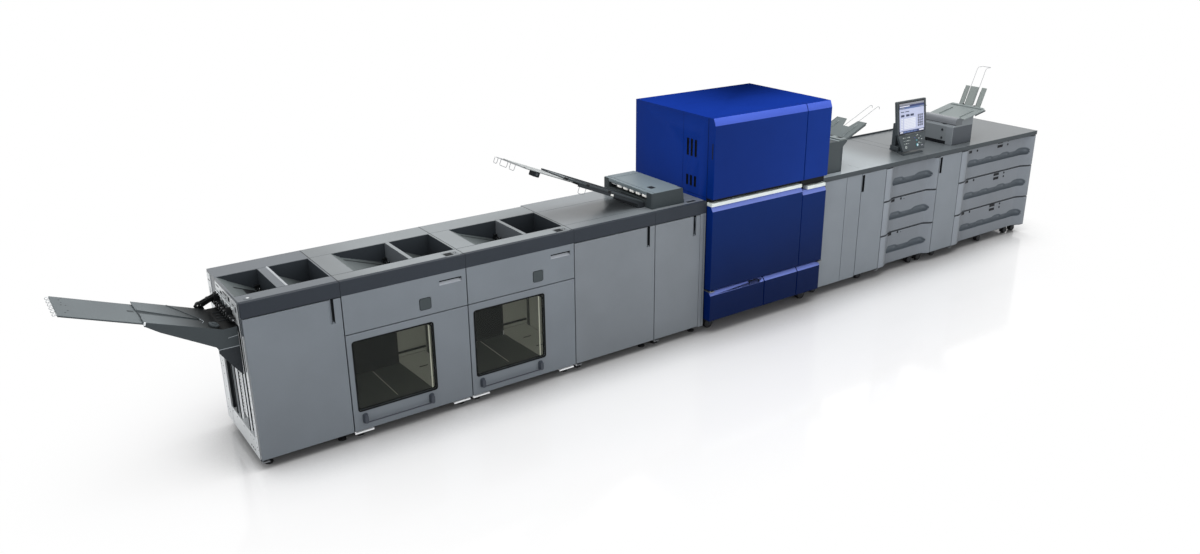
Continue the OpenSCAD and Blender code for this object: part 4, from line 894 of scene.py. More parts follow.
# folded edges, holes and screws of the frame
for y in (30, 67, 546, 655):
    p.box(-1.4, 3.0, y, y + 3, BASE + 1, BIN_FLOOR - 1, 0.8, 4)
for columns, rows, radius in (((50, 602), range(110, 800, 86), 3.4),
                              ((38, 62, 572, 634), range(150, 800, 172), 1.8)):
    for y in columns:
        for z in rows:
            p.rod((1.5, y, z), (-0.4, y, z), radius, 12)
for y in (50, 602, 640):
    for z in (98, 390, 640, 790):
        p.screw(-0.4, y, z + 30, 4.2, (-1, 0, 0), 1)
for y in (110, 168, 300, 430, 520):
    p.screw(-0.4, y, RAIL_FOOT - 18, 4.2, (-1, 0, 0), 1)
for y in (110, 142, 174):
    p.box(-0.5, 1.5, y, y + 18, 76, 86, 0.8)
p.finish("bay_fittings", ["bay_dark", "wire_steel", "rail_white", "frame_zinc", "frame_light"],
         "root", "frame_metal")

# sheet metal and exit rollers under the rim of the finisher's top
p = Piece()
for y0, y1, z0, z1 in ((62, 172, 866, 1002), (172, 482, 950, 1002), (586, 656, 822, 1006)):
    p.box(-2.4, 0.4, y0, y1, z0, z1, 0.9)
for y0, y1, z0, z1 in ((196, 226, 964, 990), (250, 330, 982, 989), (352, 384, 960, 974),
                       (404, 462, 982, 989), (268, 282, 958, 966), (80, 98, 940, 972),
                       (120, 150, 968, 974), (600, 640, 960, 966), (618, 626, 880, 920)):
    p.box(-3.0, -1.6, y0, y1, z0, z1, 0.5, 1)
for y, z in ((72, 990), (160, 990), (72, 880), (190, 996), (474, 958), (596, 996), (646, 840),
             (600, 900)):
    p.screw(-2.4, y, z, 3.6, (-1, 0, 0), 2)
# bright folded edge with its dark gap beside the front post
p.box(-3.2, -0.4, 56, 63, 600, 1000, 0.6)
p.box(-1.4, -0.4, 46, 54, 600, 1000, 0, 1)
p.prism([(-3, 951), (-0.4, 951), (-0.4, 900), (-26, 884), (-29, 887), (-5, 903)], "y", 176, 478,
        0.8, 3)
for y in range(190, 470, 34):
    p.prism([(-4, 934), (-0.4, 940), (-0.4, 886), (-30, 872), (-33, 877), (-8, 896)], "y", y,
            y + 9, 0.8, 4)
    p.rod((-26, y + 14, 880), (-26, y + 24, 880), 9, 20, 4, bevel=1.5)
p.box(-8, -0.4, 150, 482, 936, 948, 1.5)
for y in (186, 262, 338, 414):
    p.box(-12, -7, y, y + 26, 930, 952, 1.0)
    p.screw(-12, y + 13, 941, 3.4, (-1, 0, 0), 2)
for y in (168, 410):
    p.box(-34, -0.4, y, y + 7, 868, 948, 2, 4)
p.rod((-20, 96, 898), (-20, 428, 898), 4, 14, 2)
for y in (108, 142, 182, 228, 274, 320, 366, 420):
    p.rod((-20, y, 898), (-20, y + 20, 898), 14, 24, 4, bevel=2)
    p.box(-30, -8, y + 21, y + 25, 884, 914, 1.2, 4)
for y in (128, 205, 251, 297, 343, 400):
    p.rod((-31, y, 905), (-29, y, 905), 3.0, 12, 2)
p.finish("exit_rollers", ["frame_light", "bay_dark", "wire_steel", "tray_mid", "plastic_black"],
         "root", "frame_metal")

# lever with its knuckles
soften("finisher_exit_lever", 3.0, ["plastic_black"])
p = Piece()
for (x, z), r in (((-112, 886), 20), ((-104, 872), 13), ((-10, 925), 21), ((-58, 908), 17)):
    p.rod((x, 444, z), (x, 468, z), r, 28, bevel=3)
p.prism([(-112, 900), (-8, 938), (-8, 928), (-110, 888)], "y", 441, 449, 2)
for x, z in ((-120, 890), (-104, 893)):
    p.rod((x, 442.4, z), (x, 443.4, z), 4.2, 16, 1)
p.rod((-98, 446, 862), (-98, 464, 862), 12, 24, bevel=2)
p.finish("exit_lever_knuckles", ["plastic_black", "roller_white"], "root", "black_plastic")

# ---------------------------------------------------------------- finisher's lift tray
TRAY_TILT = 20.3
ON_TRAY = slope_at(-83, 864, TRAY_TILT)
p = Piece()
tray = p.on(ON_TRAY)
tray.box(-391, 1, 86, 429, -9.6, -6.2, 0.6, 1)
# the sheet with a trough that runs to a notch in the tip
tray.prism([(3, 86), (-391.6, 86), (-391.6, 163), (-388, 188), (-92, 196), (-88, 231), (-388, 292),
            (-391.6, 429), (3, 429)], "z", -6.3, 0, 1.6)
tray.prism([(-92, 196), (-388, 190), (-388, 240), (-92, 214)], "z", -6.2, -2.2, 1.5)
p.box(-84, -6.4, 86, 429, 854.4, 864, 1.2)
for y0, y1 in ((429, 293), (163, 86)):
    tray.rod((-391, y0, -3), (-391, y1, -3), 3.6, 14)
p.finish("lift_tray_top", ["tray_sheet", "tray_dark"], "lift_tray", "tray_grey",
         ("finisher_tray",))
p = Piece()
tray = p.on(ON_TRAY)
tilt = math.radians(TRAY_TILT)
tip_x, tip_z = -83 - 392 * math.cos(tilt), 864 + 392 * math.sin(tilt)
for y0, y1 in ((84.8, 90), (425, 430)):
    upper = [(tip_x + 1, tip_z - 2), (-83, 863), (-7, 863), (-7, 752), (-118, 752),
             (-126, 768), (tip_x + 65, tip_z - 76), (tip_x + 1, tip_z - 28)]
    p.prism(upper, "y", y0, y1, 1.4)
    lower = [(-116, 748), (-7, 748), (-7, 577), (-13, 575), (-118, 730)]
    p.prism(lower, "y", y0 + 1.2, y1 - 1.2, 1.2, 1)
    # painted highlight: a pale strip along the knee of each side plate
    p.box(-119, -7, y0 + 0.4, y1 - 0.4, 748, 752, 0.5, 2)
# painted highlight: a faint pale line across the near side plate
p.prism([(-62, 806), (-8, 812), (-8, 815), (-62, 809)], "y", 84.2, 85.2, 0.3, 2)
# bottom pan, cross ribs and the carriage that runs on the rails
pan = [(tip_x + 4, tip_z - 24), (tip_x + 66, tip_z - 72), (-124, 772), (-118, 756), (-8, 756),
       (-8, 760), (-116, 760), (-121, 777), (tip_x + 66, tip_z - 66), (tip_x + 6, tip_z - 19)]
p.prism(pan, "y", 90, 425, 0.6, 1)
for x in (-60, -112, -190, -270, -350):
    z = 864 + max(0, -83 - x) * math.tan(tilt)
    p.box(x - 2, x + 2, 90, 425, z - 40, z - 28, 0.5, 1)
p.box(-40, -6.6, 87, 428, 715, 861, 2.0, 1)
p.box(-10, -7, 92, 423, 580, 748, 0.6, 1)
for y in RAILS[:2]:
    p.box(-7.4, RAIL_X0 - 0.3, y - 8, y + 8, 726, 762, 1.5, 1)
    p.rod((RAIL_X0 - 6, y - 7, 744), (RAIL_X0 - 6, y + 7, 744), 5, 20, 3)
for y in (86, 411):
    tray.box(-388, -22, y, y + 17, -26, -21.4, 0.8, 1)
# light latch plate at the front tip, stop pad and the wire over the root
tray.box(-395, -385, 83.4, 88, -19, 0.8, 0.8, 4)
tray.wire([(-215, 419, 2.6), (-84, 228, 2.6)], 2.0)
tray.wire([(-86, 226, 3.0), (-72, 190, 3.0), (-88, 156, 3.0)], 1.5, mat=2)
tray.prism(rounded_rect(-62, -12, 104, 158, 16), "z", 0.4, 15, 4)
tray.rod((-36, 131, 13), (-36, 131, 21), 14, 28, bevel=3)
for y in (210, 256, 300, 344):
    p.box(-70, -14, y, y + 4, 864.2, 867, 1.0, 1)
for x, z in ((-30, 700), (-30, 640), (-70, 700)):
    p.screw(x, 86.0, z, 4, (0, -1, 0), 1)
p.finish("lift_tray_brackets", ["tray_dark", "tray_black", "tray_edge", "roller_white",
                                "frame_light"], "lift_tray", "tray_grey")

p = Piece()
tray = p.on(ON_TRAY)
tray.box(-784, -322, 103, 412, -20.0, -10.6, 2.2)
for y in (101.8, 406):
    tray.box(-781, -326, y, y + 7.2, -19.4, -12.6, 1.5, 1)
for u, y in ((-729, 396), (-745, 362), (-740, 322), (-724, 281), (-744, 281), (-725, 198),
             (-742, 160)):
    tray.rod((u, y, -11.2), (u, y, -10.2), 3.6, 14, 2)
tray.box(-436, -404, 272, 300, -10.8, -10.2, 0.2, 1)
p.finish("lift_tray_extension", ["tray_sheet", "tray_dark", "bay_dark"], "tray_extension",
         "tray_pale", ("finisher_tray_extension",))
# wire loops along the tip
p = Piece()
tray = p.on(ON_TRAY)
for k in range(6):
    y = 128 + 52 * k
    tray.wire([(-782, y, -15.3), (-800, y, -9.5), (-804, y + 2, -20), (-797, y + 4, -27),
               (-783, y + 4, -19)], 1.9, bend=8)
p.finish("lift_tray_loops", ["wire_steel"], "tray_extension", "wire", ("finisher_tray_loops",))

# ---------------------------------------------------------------- relay and exit cabinets
def deck_face(centre, normal):
    """0 sides, 1 top."""
    return int(normal.z > 0.5 and centre.z > TOP - 6)


for node in ("relay_body", "exit_body"):
    soften(node, 1.8, ["cabinet_grey_2", "top_grey_3"], choose=deck_face)
p = Piece()
for x0, x1 in ((X_REL + 2, X_EXIT - 2), (X_EXIT + 2, X_ENG - 2)):
    for y in (121, 472):
        p.box(x0, x1, y, y + 1.6, TOP - 0.6, TOP + 0.35)
# hand slot in the exit cabinet's top and the joint beside the engine
p.box(3105, 3185, 44, 72, TOP - 0.6, TOP + 0.5, 0.2, 1)
p.frame(rounded_rect(3101, 3189, 40, 76, 8), rounded_rect(3105, 3185, 44, 72, 5), TOP - 0.5,
        TOP + 1.3, 2, axis="z")
p.box(3221.5, 3223.5, -0.4, 0.8, BASE + 8, 924, 0, 1)
p.finish("deck_lines", ["seam_grey", "slot_black", "top_grey_3"], "root", "top_grey")

# ---------------------------------------------------------------- output unit
# the unit's left side
OX = sizes("output_unit")[0]
UNIT = at(OX, 0, TOP)
p = Piece(UNIT)
# housing: side cheeks, in a darker grey as painted shade, back, hood with a rounded rim, and the
# bed under the throat
hood = [(0, 89), (61, 89), (61, 60), (287, 60), (277, 111), (0, 111)]
bed = [(0, 0.4), (292, 0.4), (287, 59.8), (61, 59.8), (61, 49.6), (0, 49.6)]
cheek = [(0, 0.4), (293, 0.4), (277, 111), (0, 111)]
for y0, y1 in ((65, 124.5), (575.5, 635)):
    p.prism(cheek, "y", y0, y1, 3.5, 4)
p.prism(hood, "y", 124.6, 575.4, 1.4)
p.prism(bed, "y", 124.6, 575.4, 1.2, 1)
# top covers with a black inset, the black opening, and a seam in each cheek
p.plate(30, 262, 66, 560, 8, 110.6, 113.4, 1.2, axis="z")
p.plate(30, 270, 566, 633, 6, 110.6, 113.4, 1.2, axis="z")
p.plate(3, 26, 68, 632, 6, 110.4, 112.6, 1.0, axis="z")
p.plate(74, 118, 168, 222, 4, 113.0, 113.9, 0.2, 2, axis="z")
p.box(57.6, 60.4, 126, 574, 50.2, 88.5, 0, 2)
for y in (64.4, 635.0):
    p.box(8, 10, y - 0.2, y + 0.6, 4, 106, 0, 3)
p.finish("output_housing", ["unit_grey", "unit_dark", "slot_black", "seam_grey", "unit_side_painted_shade"],
         "root", "tray_pale", ("output_unit",))
p = Piece(UNIT)
p.rod((18, 130, 76.6), (18, 570, 76.6), 4, 14, 1)
for k in range(5):
    y = 150 + 74 * k
    p.rod((18, y, 76.6), (18, y + 34, 76.6), 11.9, 32, bevel=1.5)
    p.rod((18, y + 8, 76.6), (18, y + 10, 76.6), 12.1, 32, 2)
    p.box(14, 40, y + 40, y + 46, 62, 88.4, 1.5, 2)
p.finish("output_rollers_skin", ["roller_bright", "wire_steel", "plastic_black"], "root",
         "roller_white", ("output_rollers",))

# its long tray: dark rails, ribbed bed, slim light extension
ON_OUT = slope_at(OX - 4.3, TOP + 43, 23)
# the tray's front and back
TY0, TY1 = 140, 440
p = Piece()
out_tray = p.on(ON_OUT)
out_tray.box(-700, -1, TY0 + 8, TY1 - 8, -12, -7.5, 0.8)
for y0, y1, length in ((TY0, TY0 + 12, 700), (TY1 - 12, TY1, 700)):
    out_tray.box(-length, -2, y0, y1, -12, 0, 2.2, 1)
for y in (TY0 + 1, TY1 - 11):
    out_tray.box(-580, -2, y, y + 10, -33.8, -12.3, 2.5)
for y in (190, 236, 282, 328, 374):
    out_tray.box(-640, -30, y, y + 7, -8, -2.4, 1.8)
out_tray.box(-210, -60, TY0 + 16, TY1 - 16, -11, -4.6, 1.5, 2)
out_tray.box(-668, -560, TY0 + 30, TY1 - 30, -9, -3.2, 1.5, 2)
for u in (-700, -520, -330):
    out_tray.box(u, u + 26, TY0 - 0.6, TY0 + 14, -14, 1.4, 1.5, 3)
# root block, hinge pins and the cross bar under the bed
p.box(OX - 59.6, OX - 1.3, TY0 + 2, TY1 - 2, TOP + 0.6, TOP + 34, 3)
for y in (TY0 + 4, TY1 - 24):
    p.rod((OX - 30, y, TOP + 40), (OX - 30, y + 20, TOP + 40), 11, 24, 3, bevel=1.5)
out_tray.rod((-562, TY0 + 8, -22), (-562, TY1 - 8, -22), 4.5, 16, 3)
out_tray.box(-300, -276, TY0 - 1.2, TY0 + 3, -30, -17, 1.0, 4)
p.finish("output_tray_skin", ["tray_black", "tray_dark", "tray_mid", "plastic_black",
                              "roller_white"], "root", "tray_grey", ("output_tray",))
p = Piece()
out_tray = p.on(ON_OUT)
out_tray.box(-1019.6, -620, TY0 + 20, TY1 - 20, -19.8, -12.4, 1.8)
out_tray.box(-1019.6, -1000, TY0 + 20, TY1 - 20, -21.5, -10.8, 2.0)
for y in (TY0 + 23, TY1 - 28):
    out_tray.box(-1000, -640, y, y + 5, -22.2, -19.2, 0.8, 1)
out_tray.box(-930, -882, TY0 + 20, TY0 + 80, -53.6, -20.2, 5, 2)
out_tray.rod((-906, TY0 + 18, -36), (-906, TY0 + 82, -36), 9, 24, 1, bevel=1)
for y in (TY0 + 96, TY0 + 186):
    out_tray.box(-980, -720, y, y + 3, -12.6, -11.6, 0.3, 1)
p.finish("output_tray_extension_skin", ["tray_slim", "tray_dark", "bay_dark"], "root", "tray_pale",
         ("output_tray_extension",))


# ---------------------------------------------------------------- print engine
ENG_Y = sizes("engine_upper_doors")[2]
ENG_TOP = sizes("engine_body")[5]
ENG_SPLIT = sizes("engine_lower_door")[1]
VENTS = [(y, z0, z1) for y in (224, 182, 137) for z0, z1 in ((1310, 1435), (1092, 1170))]


def engine_body_face(centre, normal):
    """0 side, in a copy of the paint with painted shade, 1 top, in a copy with painted light, 2
    black as painted shade: back of a vent and the front behind the doors.
    """
    if normal.z > 0.7 and centre.z > ENG_TOP - 3:
        return 1
    if X_ENG + 1.5 < centre.x < X_ENG + 16 and 120 < centre.y < 240:
        return 2
    if normal.y < -0.5 and centre.y < 9:
        return 2
    return 0


def engine_front_face(centre, normal):
    """0 front, 1 sloped upper edge, 2 side faces, 3 top face; the skins paint a sheen on 1, shade
    on 2, and light on 3 of the upper doors, a sheen on 3 of the lower ones.
    """
    if normal.y < -0.2 and normal.z > 0.2:
        return 1
    if abs(normal.x) > 0.6 or normal.z < -0.6:
        return 2
    return 3 if normal.z > 0.6 else 0


engine_skin = soften("engine_body", 2.2,
                     ["engine_blue_side_painted_shade", "engine_blue_top_painted_light", "slot_black"],
                     choose=engine_body_face)
# the rear covers lie on the skin, so it stands 7 mm in from the CAD's rear face
REAR_INSET = 7
for v in engine_skin.data.vertices:
    back = (v.co.y - LINE_ORIGIN.y) / MM
    if back > 846:
        v.co.y -= REAR_INSET * MM
FRONT_SKIN = ["engine_blue", "engine_blue_painted_sheen", "engine_blue_side_painted_shade", "engine_blue_top_painted_light"]
soften("engine_upper_doors", 2.4, FRONT_SKIN, choose=engine_front_face, segments=3)
LOWER_SKIN = ["engine_blue_low", "engine_lilac_painted_sheen", "engine_blue_side_painted_shade", "engine_lilac_painted_sheen"]
for node in ("engine_lower_door", "engine_side_door", "engine_base_covers"):
    soften(node, 2.0, LOWER_SKIN, choose=engine_front_face, segments=3)
soften("engine_grip_channel", 0.8, ["slot_black"])

# silver strips: rounded bars
for node in ("engine_lower_strip", "engine_side_strip"):
    soften(node, 3.2, ["silver_trim"], segments=4)
p = Piece()
# louvres in the side vents
for y, z0, z1 in VENTS:
    for k in range(2):
        p.box(X_ENG + 3, X_ENG + 12.5, y - 3.5 + 7 * k - 1.2, y - 3.5 + 7 * k + 1.2, z0 + 0.6,
              z1 - 0.6, 0.5)
    for z in (z0 + 0.5, z1 - 2.3):
        p.box(X_ENG + 2, X_ENG + 13, y - 11.6, y + 11.6, z, z + 1.8, 0.4)
# joints of the side panels, and their screws
for z in (1040, 350):
    p.box(X_ENG - 0.1, X_ENG + 0.9, 12, 846, z, z + 1.6, 0, 1)
for x in (X_ENG - 0.1, X_BRI - 0.9):
    p.box(x, x + 1.0, 276, 277.6, 1041, ENG_TOP - 4, 0, 1)
for x in (X_ENG + 0.3, X_BRI - 0.3):
    side = -1 if x < X_ENG + 10 else 1
    for y in (24, 262, 292, 560, 836):
        for z in (ENG_TOP - 22, 1058):
            p.screw(x, y, z, 3.6, (side, 0, 0), 2)
# seam across the top, behind the doors
p.box(X_ENG + 4, X_BRI - 4, 470, 471.6, ENG_TOP - 0.9, ENG_TOP + 0.0, 0, 1)
p.finish("engine_side_fittings", ["slot_black", "engine_seam", "engine_blue_side_painted_shade"], "root",
         "engine_blue")
p = Piece()
# hinge slit at the upper doors' left edge; rubber lip over the grip channel
p.box(X_ENG + 1.2, X_ENG + 2.6, -48, -38, 1329, 1440, 0.4)
for a, b in ((X_ENG + 3, ENG_SPLIT - 1), (ENG_SPLIT + 8, X_BRI - 4)):
    p.box(a, b, ENG_Y + 6, -4, 1036.5, 1039.8, 1.2)
p.finish("engine_front_lips", ["slot_black"], "root", "black_plastic")

# right recess, above the narrow silver strip: dark back with ribs
p = Piece()
p.box(ENG_SPLIT + 7, X_BRI - 3, -6.0, -2.5, 984, 1036, 0.8)
for k in range(4):
    p.box(ENG_SPLIT + 70, X_BRI - 12, -9.0, -5.5, 990 + 11 * k, 995 + 11 * k, 0.8, 1)
p.finish("engine_recess", ["slot_black", "plastic_black"], "root", "black_plastic")

# finger recess in the left base cover: dark back and its lower lip
p = Piece()
a, b = 3640, 3737
p.box(a + 0.3, b - 0.3, -40.6, -38.4, 309.5, 332)
p.box(a + 0.3, b - 0.3, ENG_Y + 2, -39, 309.2, 310.4)
for x in (a + 0.2, b - 1.2):
    p.box(x, x + 1.0, ENG_Y + 1, -39, 309.5, 332)
# black sill under the covers
p.box(X_ENG + 8, X_BRI - 16, -52, 4, 99, 106.6, 2, 1)
p.finish("engine_cover_details", ["slot_black", "plastic_black"], "root", "black_plastic")
# dark stop block beside the side door
p = Piece()
p.box(X_BRI - 2.0, X_BRI - 0.4, -52, -14, 902, 979, 0.5)
p.finish("engine_side_latch", ["slot_black"], "root", "black_plastic")


# ---------------------------------------------------------------- bridge and feeder cabinets
def wall_face(centre, normal):
    """0 outside, 1 inside of the drawer bays."""
    inner = (X_FDA + 26 < centre.x < X_FDA + 690) or (X_FDB + 26 < centre.x < X_END - 26)
    return 1 if inner and centre.y < 774 and 75.5 < centre.z < 958 else 0


soften("bridge_body", 1.6, ["feeder_grey"])
for node in ("feeder_a_body", "feeder_b_body"):
    soften(node, 1.2, ["feeder_grey", "frame_zinc"], choose=wall_face)
# joints in the end panel of the right cabinet
p = Piece()
p.box(X_END - 0.9, X_END + 0.0, 72, 786, 518, 519.6)
p.box(X_END - 0.9, X_END + 0.0, 400, 401.6, 78, 958)
p.finish("feeder_side_joints", ["seam_grey"], "root", "feeder_grey")


def door_with_low_slot(node, slot_x):
    """Door with an upright black slot a little under its top edge."""
    x0, x1, y0, y1, z0, z1 = extent(node)
    a, b = slot_x
    top, foot = 943.6, 804
    p = Piece()
    outer = [(x0, z0), (x1, z0), (x1, z1), (x0, z1)]
    hole = [(a, foot), (b, foot), (b, top), (a, top)]
    p.frame(outer, hole, y0, y0 + 15)
    bevel_edges(p.bm, 1.5)
    p.box(x0 + 4, x1 - 4, y0 + 15.2, y1, z0 + 4, z1 - 4, 1.5)
    # back and walls of the slot in black, as painted shade
    p.box(a + 0.4, b - 0.4, y0 + 12.6, y0 + 14.6, foot + 0.4, top - 0.4, 0, 1)
    for x in (a + 0.2, b - 1.6):
        p.box(x, x + 1.4, y0 + 1.8, y0 + 14, foot + 0.4, top - 0.4, 0, 1)
    for z in (foot + 0.2, top - 1.6):
        p.box(a + 0.4, b - 0.4, y0 + 1.8, y0 + 14, z, z + 1.4, 0, 1)
    p.finish(node + "_skin", ["feeder_grey", "slot_black"], body_of(node),
             "feeder_grey", (node,))


door_with_low_slot("bridge_door", (4896, 4924))
door_with_low_slot("feeder_a_door", (5889, 5919))

# ---------------------------------------------------------------- drawers
SCOOP = 40.0
FACE, SEAM, MARK, BOX, RUNNER, GUIDE, GRIP_FIRST = 1, 2, 3, 4, 5, 6, 7
# foot and top of each drawer's face
DRAWER_HEIGHTS = {"1": (668.5, 952.5), "2": (365.5, 663.5), "3": (77.5, 360.5)}
EDGE_GAP, WALL_GAP, RUNNER_WIDTH = 1.5, 25, 16
BOX_LENGTH = 560
GRIP_END, GRIP_DROP, GRIP_RISE, GRIP_DEPTH = 34.0, 37, 19.0, 9.0


def ease(t):
    """0 to 1 with a soft start and end."""
    t = min(1.0, max(0.0, t))
    return t * t * (3 - 2 * t)


def face_depth(x, sweeps):
    """How far the scooped face lies behind the cabinet's front plane at x."""
    a, b, c, d = sweeps
    t = (x - a) / (b - a) if x < b else (d - x) / (d - c)
    return SCOOP * (1 - math.cos(math.pi * min(1, max(0, t)))) / 2


def grip_span(x, grip, lobes):
    """Foot and top of the grip recess at x: round ends, and a top that rises over each lobe."""
    x0, x1, zc = grip
    end = min(x - x0, x1 - x) / GRIP_END
    if end <= 0:
        return zc, zc
    round_off = math.sqrt(max(0.0, 1 - max(0.0, 1 - end) ** 2))
    rise = GRIP_RISE
    for middle, width, height in lobes:
        rise = max(rise, height * math.exp(-(abs(x - middle) / width) ** 4))
    return zc - GRIP_DROP * round_off, zc + rise * round_off


def grip_depth(x, z, grip, lobes):
    """Depth of the soft grip recess: crisp along its foot, easing out towards its top."""
    low, high = grip_span(x, grip, lobes)
    if not low < z < high:
        return 0.0
    foot = ease((z - low) / 5.0)
    top = ease((high - z) / (0.6 * (high - low)))
    return GRIP_DEPTH * foot * top


def grip_painted_shade(x, z, grip, lobes):
    """Painted shade inside the grip: 0 on the face, then 1 (pale) to GRIP_SHADES (dark), darkest
    along its foot.
    """
    low, high = grip_span(x, grip, lobes)
    if high - low < 4 or not low < z < high:
        return 0
    t = (z - low) / (high - low)
    dark = 0.5 + 0.42 * (1 - ease(t / 0.7))
    for middle, width, height in lobes:
        u = (x - middle) / width
        ring = math.hypot(u / 0.92, (t - 0.56) / 0.34)
        # in each tall lobe: a darker ring of painted shade in its upper half, and a painted
        # highlight inside it
        if height > 20:
            dark += 0.25 * math.exp(-((ring - 1) / 0.28) ** 2) * (t > 0.5)
            dark -= 0.28 * math.exp(-((u - 0.55) / 0.2) ** 2 - ((t - 0.58) / 0.16) ** 2)
    dark *= ease((1 - t) / 0.16) * ease(t / 0.03)
    return 1 + min(GRIP_SHADES - 1, max(0, round(dark * (GRIP_SHADES - 1))))


def drawer_face(x0, x1, z0, z1, sweeps, grip, lobes):
    """The scooped face with its grip as a fine grid, closed by a block behind it."""
    zc = grip[2]
    columns = sorted({round(x0 + (x1 - x0) * k / 150, 3) for k in range(151)} | set(sweeps))
    rows = [z0, z0 + 4.0, z0 + 20, *(zc - 40 + 2.6 * k for k in range(33)), zc + 60, z1 - 20,
            z1 - 4.4, z1]
    part = bmesh.new()
    grid = []
    for x in columns:
        line = []
        for z in rows:
            y = face_depth(x, sweeps) + grip_depth(x, z, grip, lobes)
            y += 2.4 * (z in (z0, z1))
            y += 1.0 * (x in (x0, x1))
            line.append(part.verts.new((x, y, z)))
        grid.append(line)
    for i in range(len(columns) - 1):
        for j in range(len(rows) - 1):
            f = part.faces.new((grid[i][j], grid[i][j + 1], grid[i + 1][j + 1], grid[i + 1][j]))
            shade = grip_painted_shade((columns[i] + columns[i + 1]) / 2, (rows[j] + rows[j + 1]) / 2,
                               grip, lobes)
            f.material_index = GRIP_FIRST + shade - 1 if shade else FACE
            if j in (0, len(rows) - 2):
                f.material_index = SEAM
    edge = ([line[0] for line in grid] + grid[-1][1:] + [line[-1] for line in grid[-2::-1]]
            + grid[0][-2:0:-1])
    rear = [part.verts.new((v.co.x, SCOOP + 14, v.co.z)) for v in edge]
    n = len(edge)
    for k in range(n):
        part.faces.new((edge[k], edge[(k + 1) % n], rear[(k + 1) % n], rear[k]))
    part.faces.new(list(reversed(rear)))
    bmesh.ops.recalc_face_normals(part, faces=part.faces)
    return part


def add_mark(p, x, z, w, h, sweeps):
    """Indicator window on the face, in four strips that follow its bend; a lamp has no height."""
    if not h:
        y = face_depth(x, sweeps)
        p.rod((x, y + 1.5, z), (x, y - 1.4, z), w / 2, 16, MARK)
        return
    for k in range(4):
        xa, xb = x + w * (k / 4 - 0.5), x + w * (k / 4 - 0.25)
        ya, yb = face_depth(xa, sweeps), face_depth(xb, sweeps)
        p.prism([(xa, ya - 1.5), (xb, yb - 1.5), (xb, yb + 1), (xa, ya + 1)], "z", z - h / 2,
                z + h / 2, 0, MARK)


def add_drawer_box(p, x0, x1, z0, z1):
    """Box and bottom sheet, runner rails beside it, paper guides and the lift plate inside."""
    inset = -EDGE_GAP + WALL_GAP + RUNNER_WIDTH + 3.6
    left, right = x0 + inset, x1 - inset
    top, foot = z1 - 42.5, z0 + 37.5
    ya = SCOOP + 14.3
    yb = ya + BOX_LENGTH
    for a in (left, right - 8):
        p.box(a, a + 8, ya, yb, foot, top, 1.2, BOX)
    p.box(left + 8.3, right - 8.3, yb - 8, yb, foot + 8.3, top, 1.2, BOX)
    p.box(left + 8.3, right - 8.3, ya, yb, foot, foot + 8, 1.0, BOX)
    low = z0 + 97.8
    for a in (left - 11, right + 0.3):
        p.box(a, a + 10.7, ya, yb, low, low + 8, 0.8, RUNNER)
    p.box(left + 60, right - 60, ya + 40, yb - 60, foot + 10, foot + 12.5, 0.5, RUNNER)
    middle = (left + right) / 2
    for a in (middle - 150, middle + 138):
        p.box(a, a + 12, ya + 170, ya + 290, foot + 13, foot + 120, 1.5, GUIDE)


def drawer(node, sweeps, grip, lobes, marks, face):
    """Drawer: scooped face with its grip, its indicator marks, and the box behind it."""
    x0, x1 = extent(node)[:2]
    z0, z1 = DRAWER_HEIGHTS[node[-1]]
    p = Piece()
    p.absorb(drawer_face(x0, x1, z0, z1, sweeps, grip, lobes))
    for mark in marks:
        add_mark(p, *mark, sweeps)
    add_drawer_box(p, x0, x1, z0, z1)
    p.finish(node + "_skin", ["feeder_grey", face, "slot_black", "mark_black", "drawer_inside",
                              "frame_zinc", "tray_dark", *GRIPS], body_of(node), "feeder_grey",
             (node,))


# x where each face starts to sink, is sunk, starts to rise and is flush again
SWEEPS_A = (5237.0, 5354.0, 5769.0, 5873.0)
SWEEPS_B = (6243.0, 6368.0, 7140.0, 7281.0)
# middle, width and height of the swellings along each grip's top
LOBES_A = ((5392, 88, 34), (5712, 116, 38))
LOBES_B = ((6410, 90, 32), (6641, 78, 28), (6894, 80, 34), (7150, 104, 38))
for n, up in ((1, 303), (2, 0), (3, -300)):
    # marks: x, z, width and height; the uppermost drawer of the left unit has none
    marks = [(5347, 644 + up, 52, 23), (5456, 645 + up, 21, 0), (5496, 638 + up, 8, 0)]
    drawer(f"feeder_a_drawer_{n}", SWEEPS_A, (5308, 5824, 509 + up), LOBES_A,
           marks if n > 1 else [], "feeder_face_a")
    left_up = up - 30 if n == 1 else up
    marks = [(6357, 643 + left_up, 50, 23), (6463, 643 + left_up, 21, 0), (6804, 644 + up, 78, 24),
             (6804, 606 + up, 78, 24), (6922, 642 + up, 20, 0), (6922, 607 + up, 20, 0)]
    drawer(f"feeder_b_drawer_{n}", SWEEPS_B, (6326, 7248, 509 + up), LOBES_B, marks,
           "feeder_face_b")

# ---------------------------------------------------------------- worktop
def worktop_face(centre, normal):
    """0 top, 1 dark front and end edges, 2 the rail along the back."""
    if centre.y > 799.5 or centre.z > 997.6:
        return 2
    return 0 if normal.z > 0.75 else 1


soften("worktop", 2.4, ["worktop_pale", "worktop_edge", "rail_dark"],
       choose=worktop_face, segments=3)
p = Piece()
p.box(X_BRI + 6, X_END - 2, 795.5, 799.2, 996.2, 997.8, 0.3)
for x in (5595.6, 5695.4):
    p.box(x - 0.9, x + 0.9, -12, 795, 996.4, 997.12)
for y in (46, 176):
    p.box(4892, 4893.6, 41, 181, 996.6, 997.1)
for x in (5188.4, 6186.4):
    p.box(x, x + 1.2, -12, 795, 996.4, 997.1, 0, 1)
p.finish("worktop_lines", ["seam_grey", "worktop_seam"], "root", "worktop_pale")
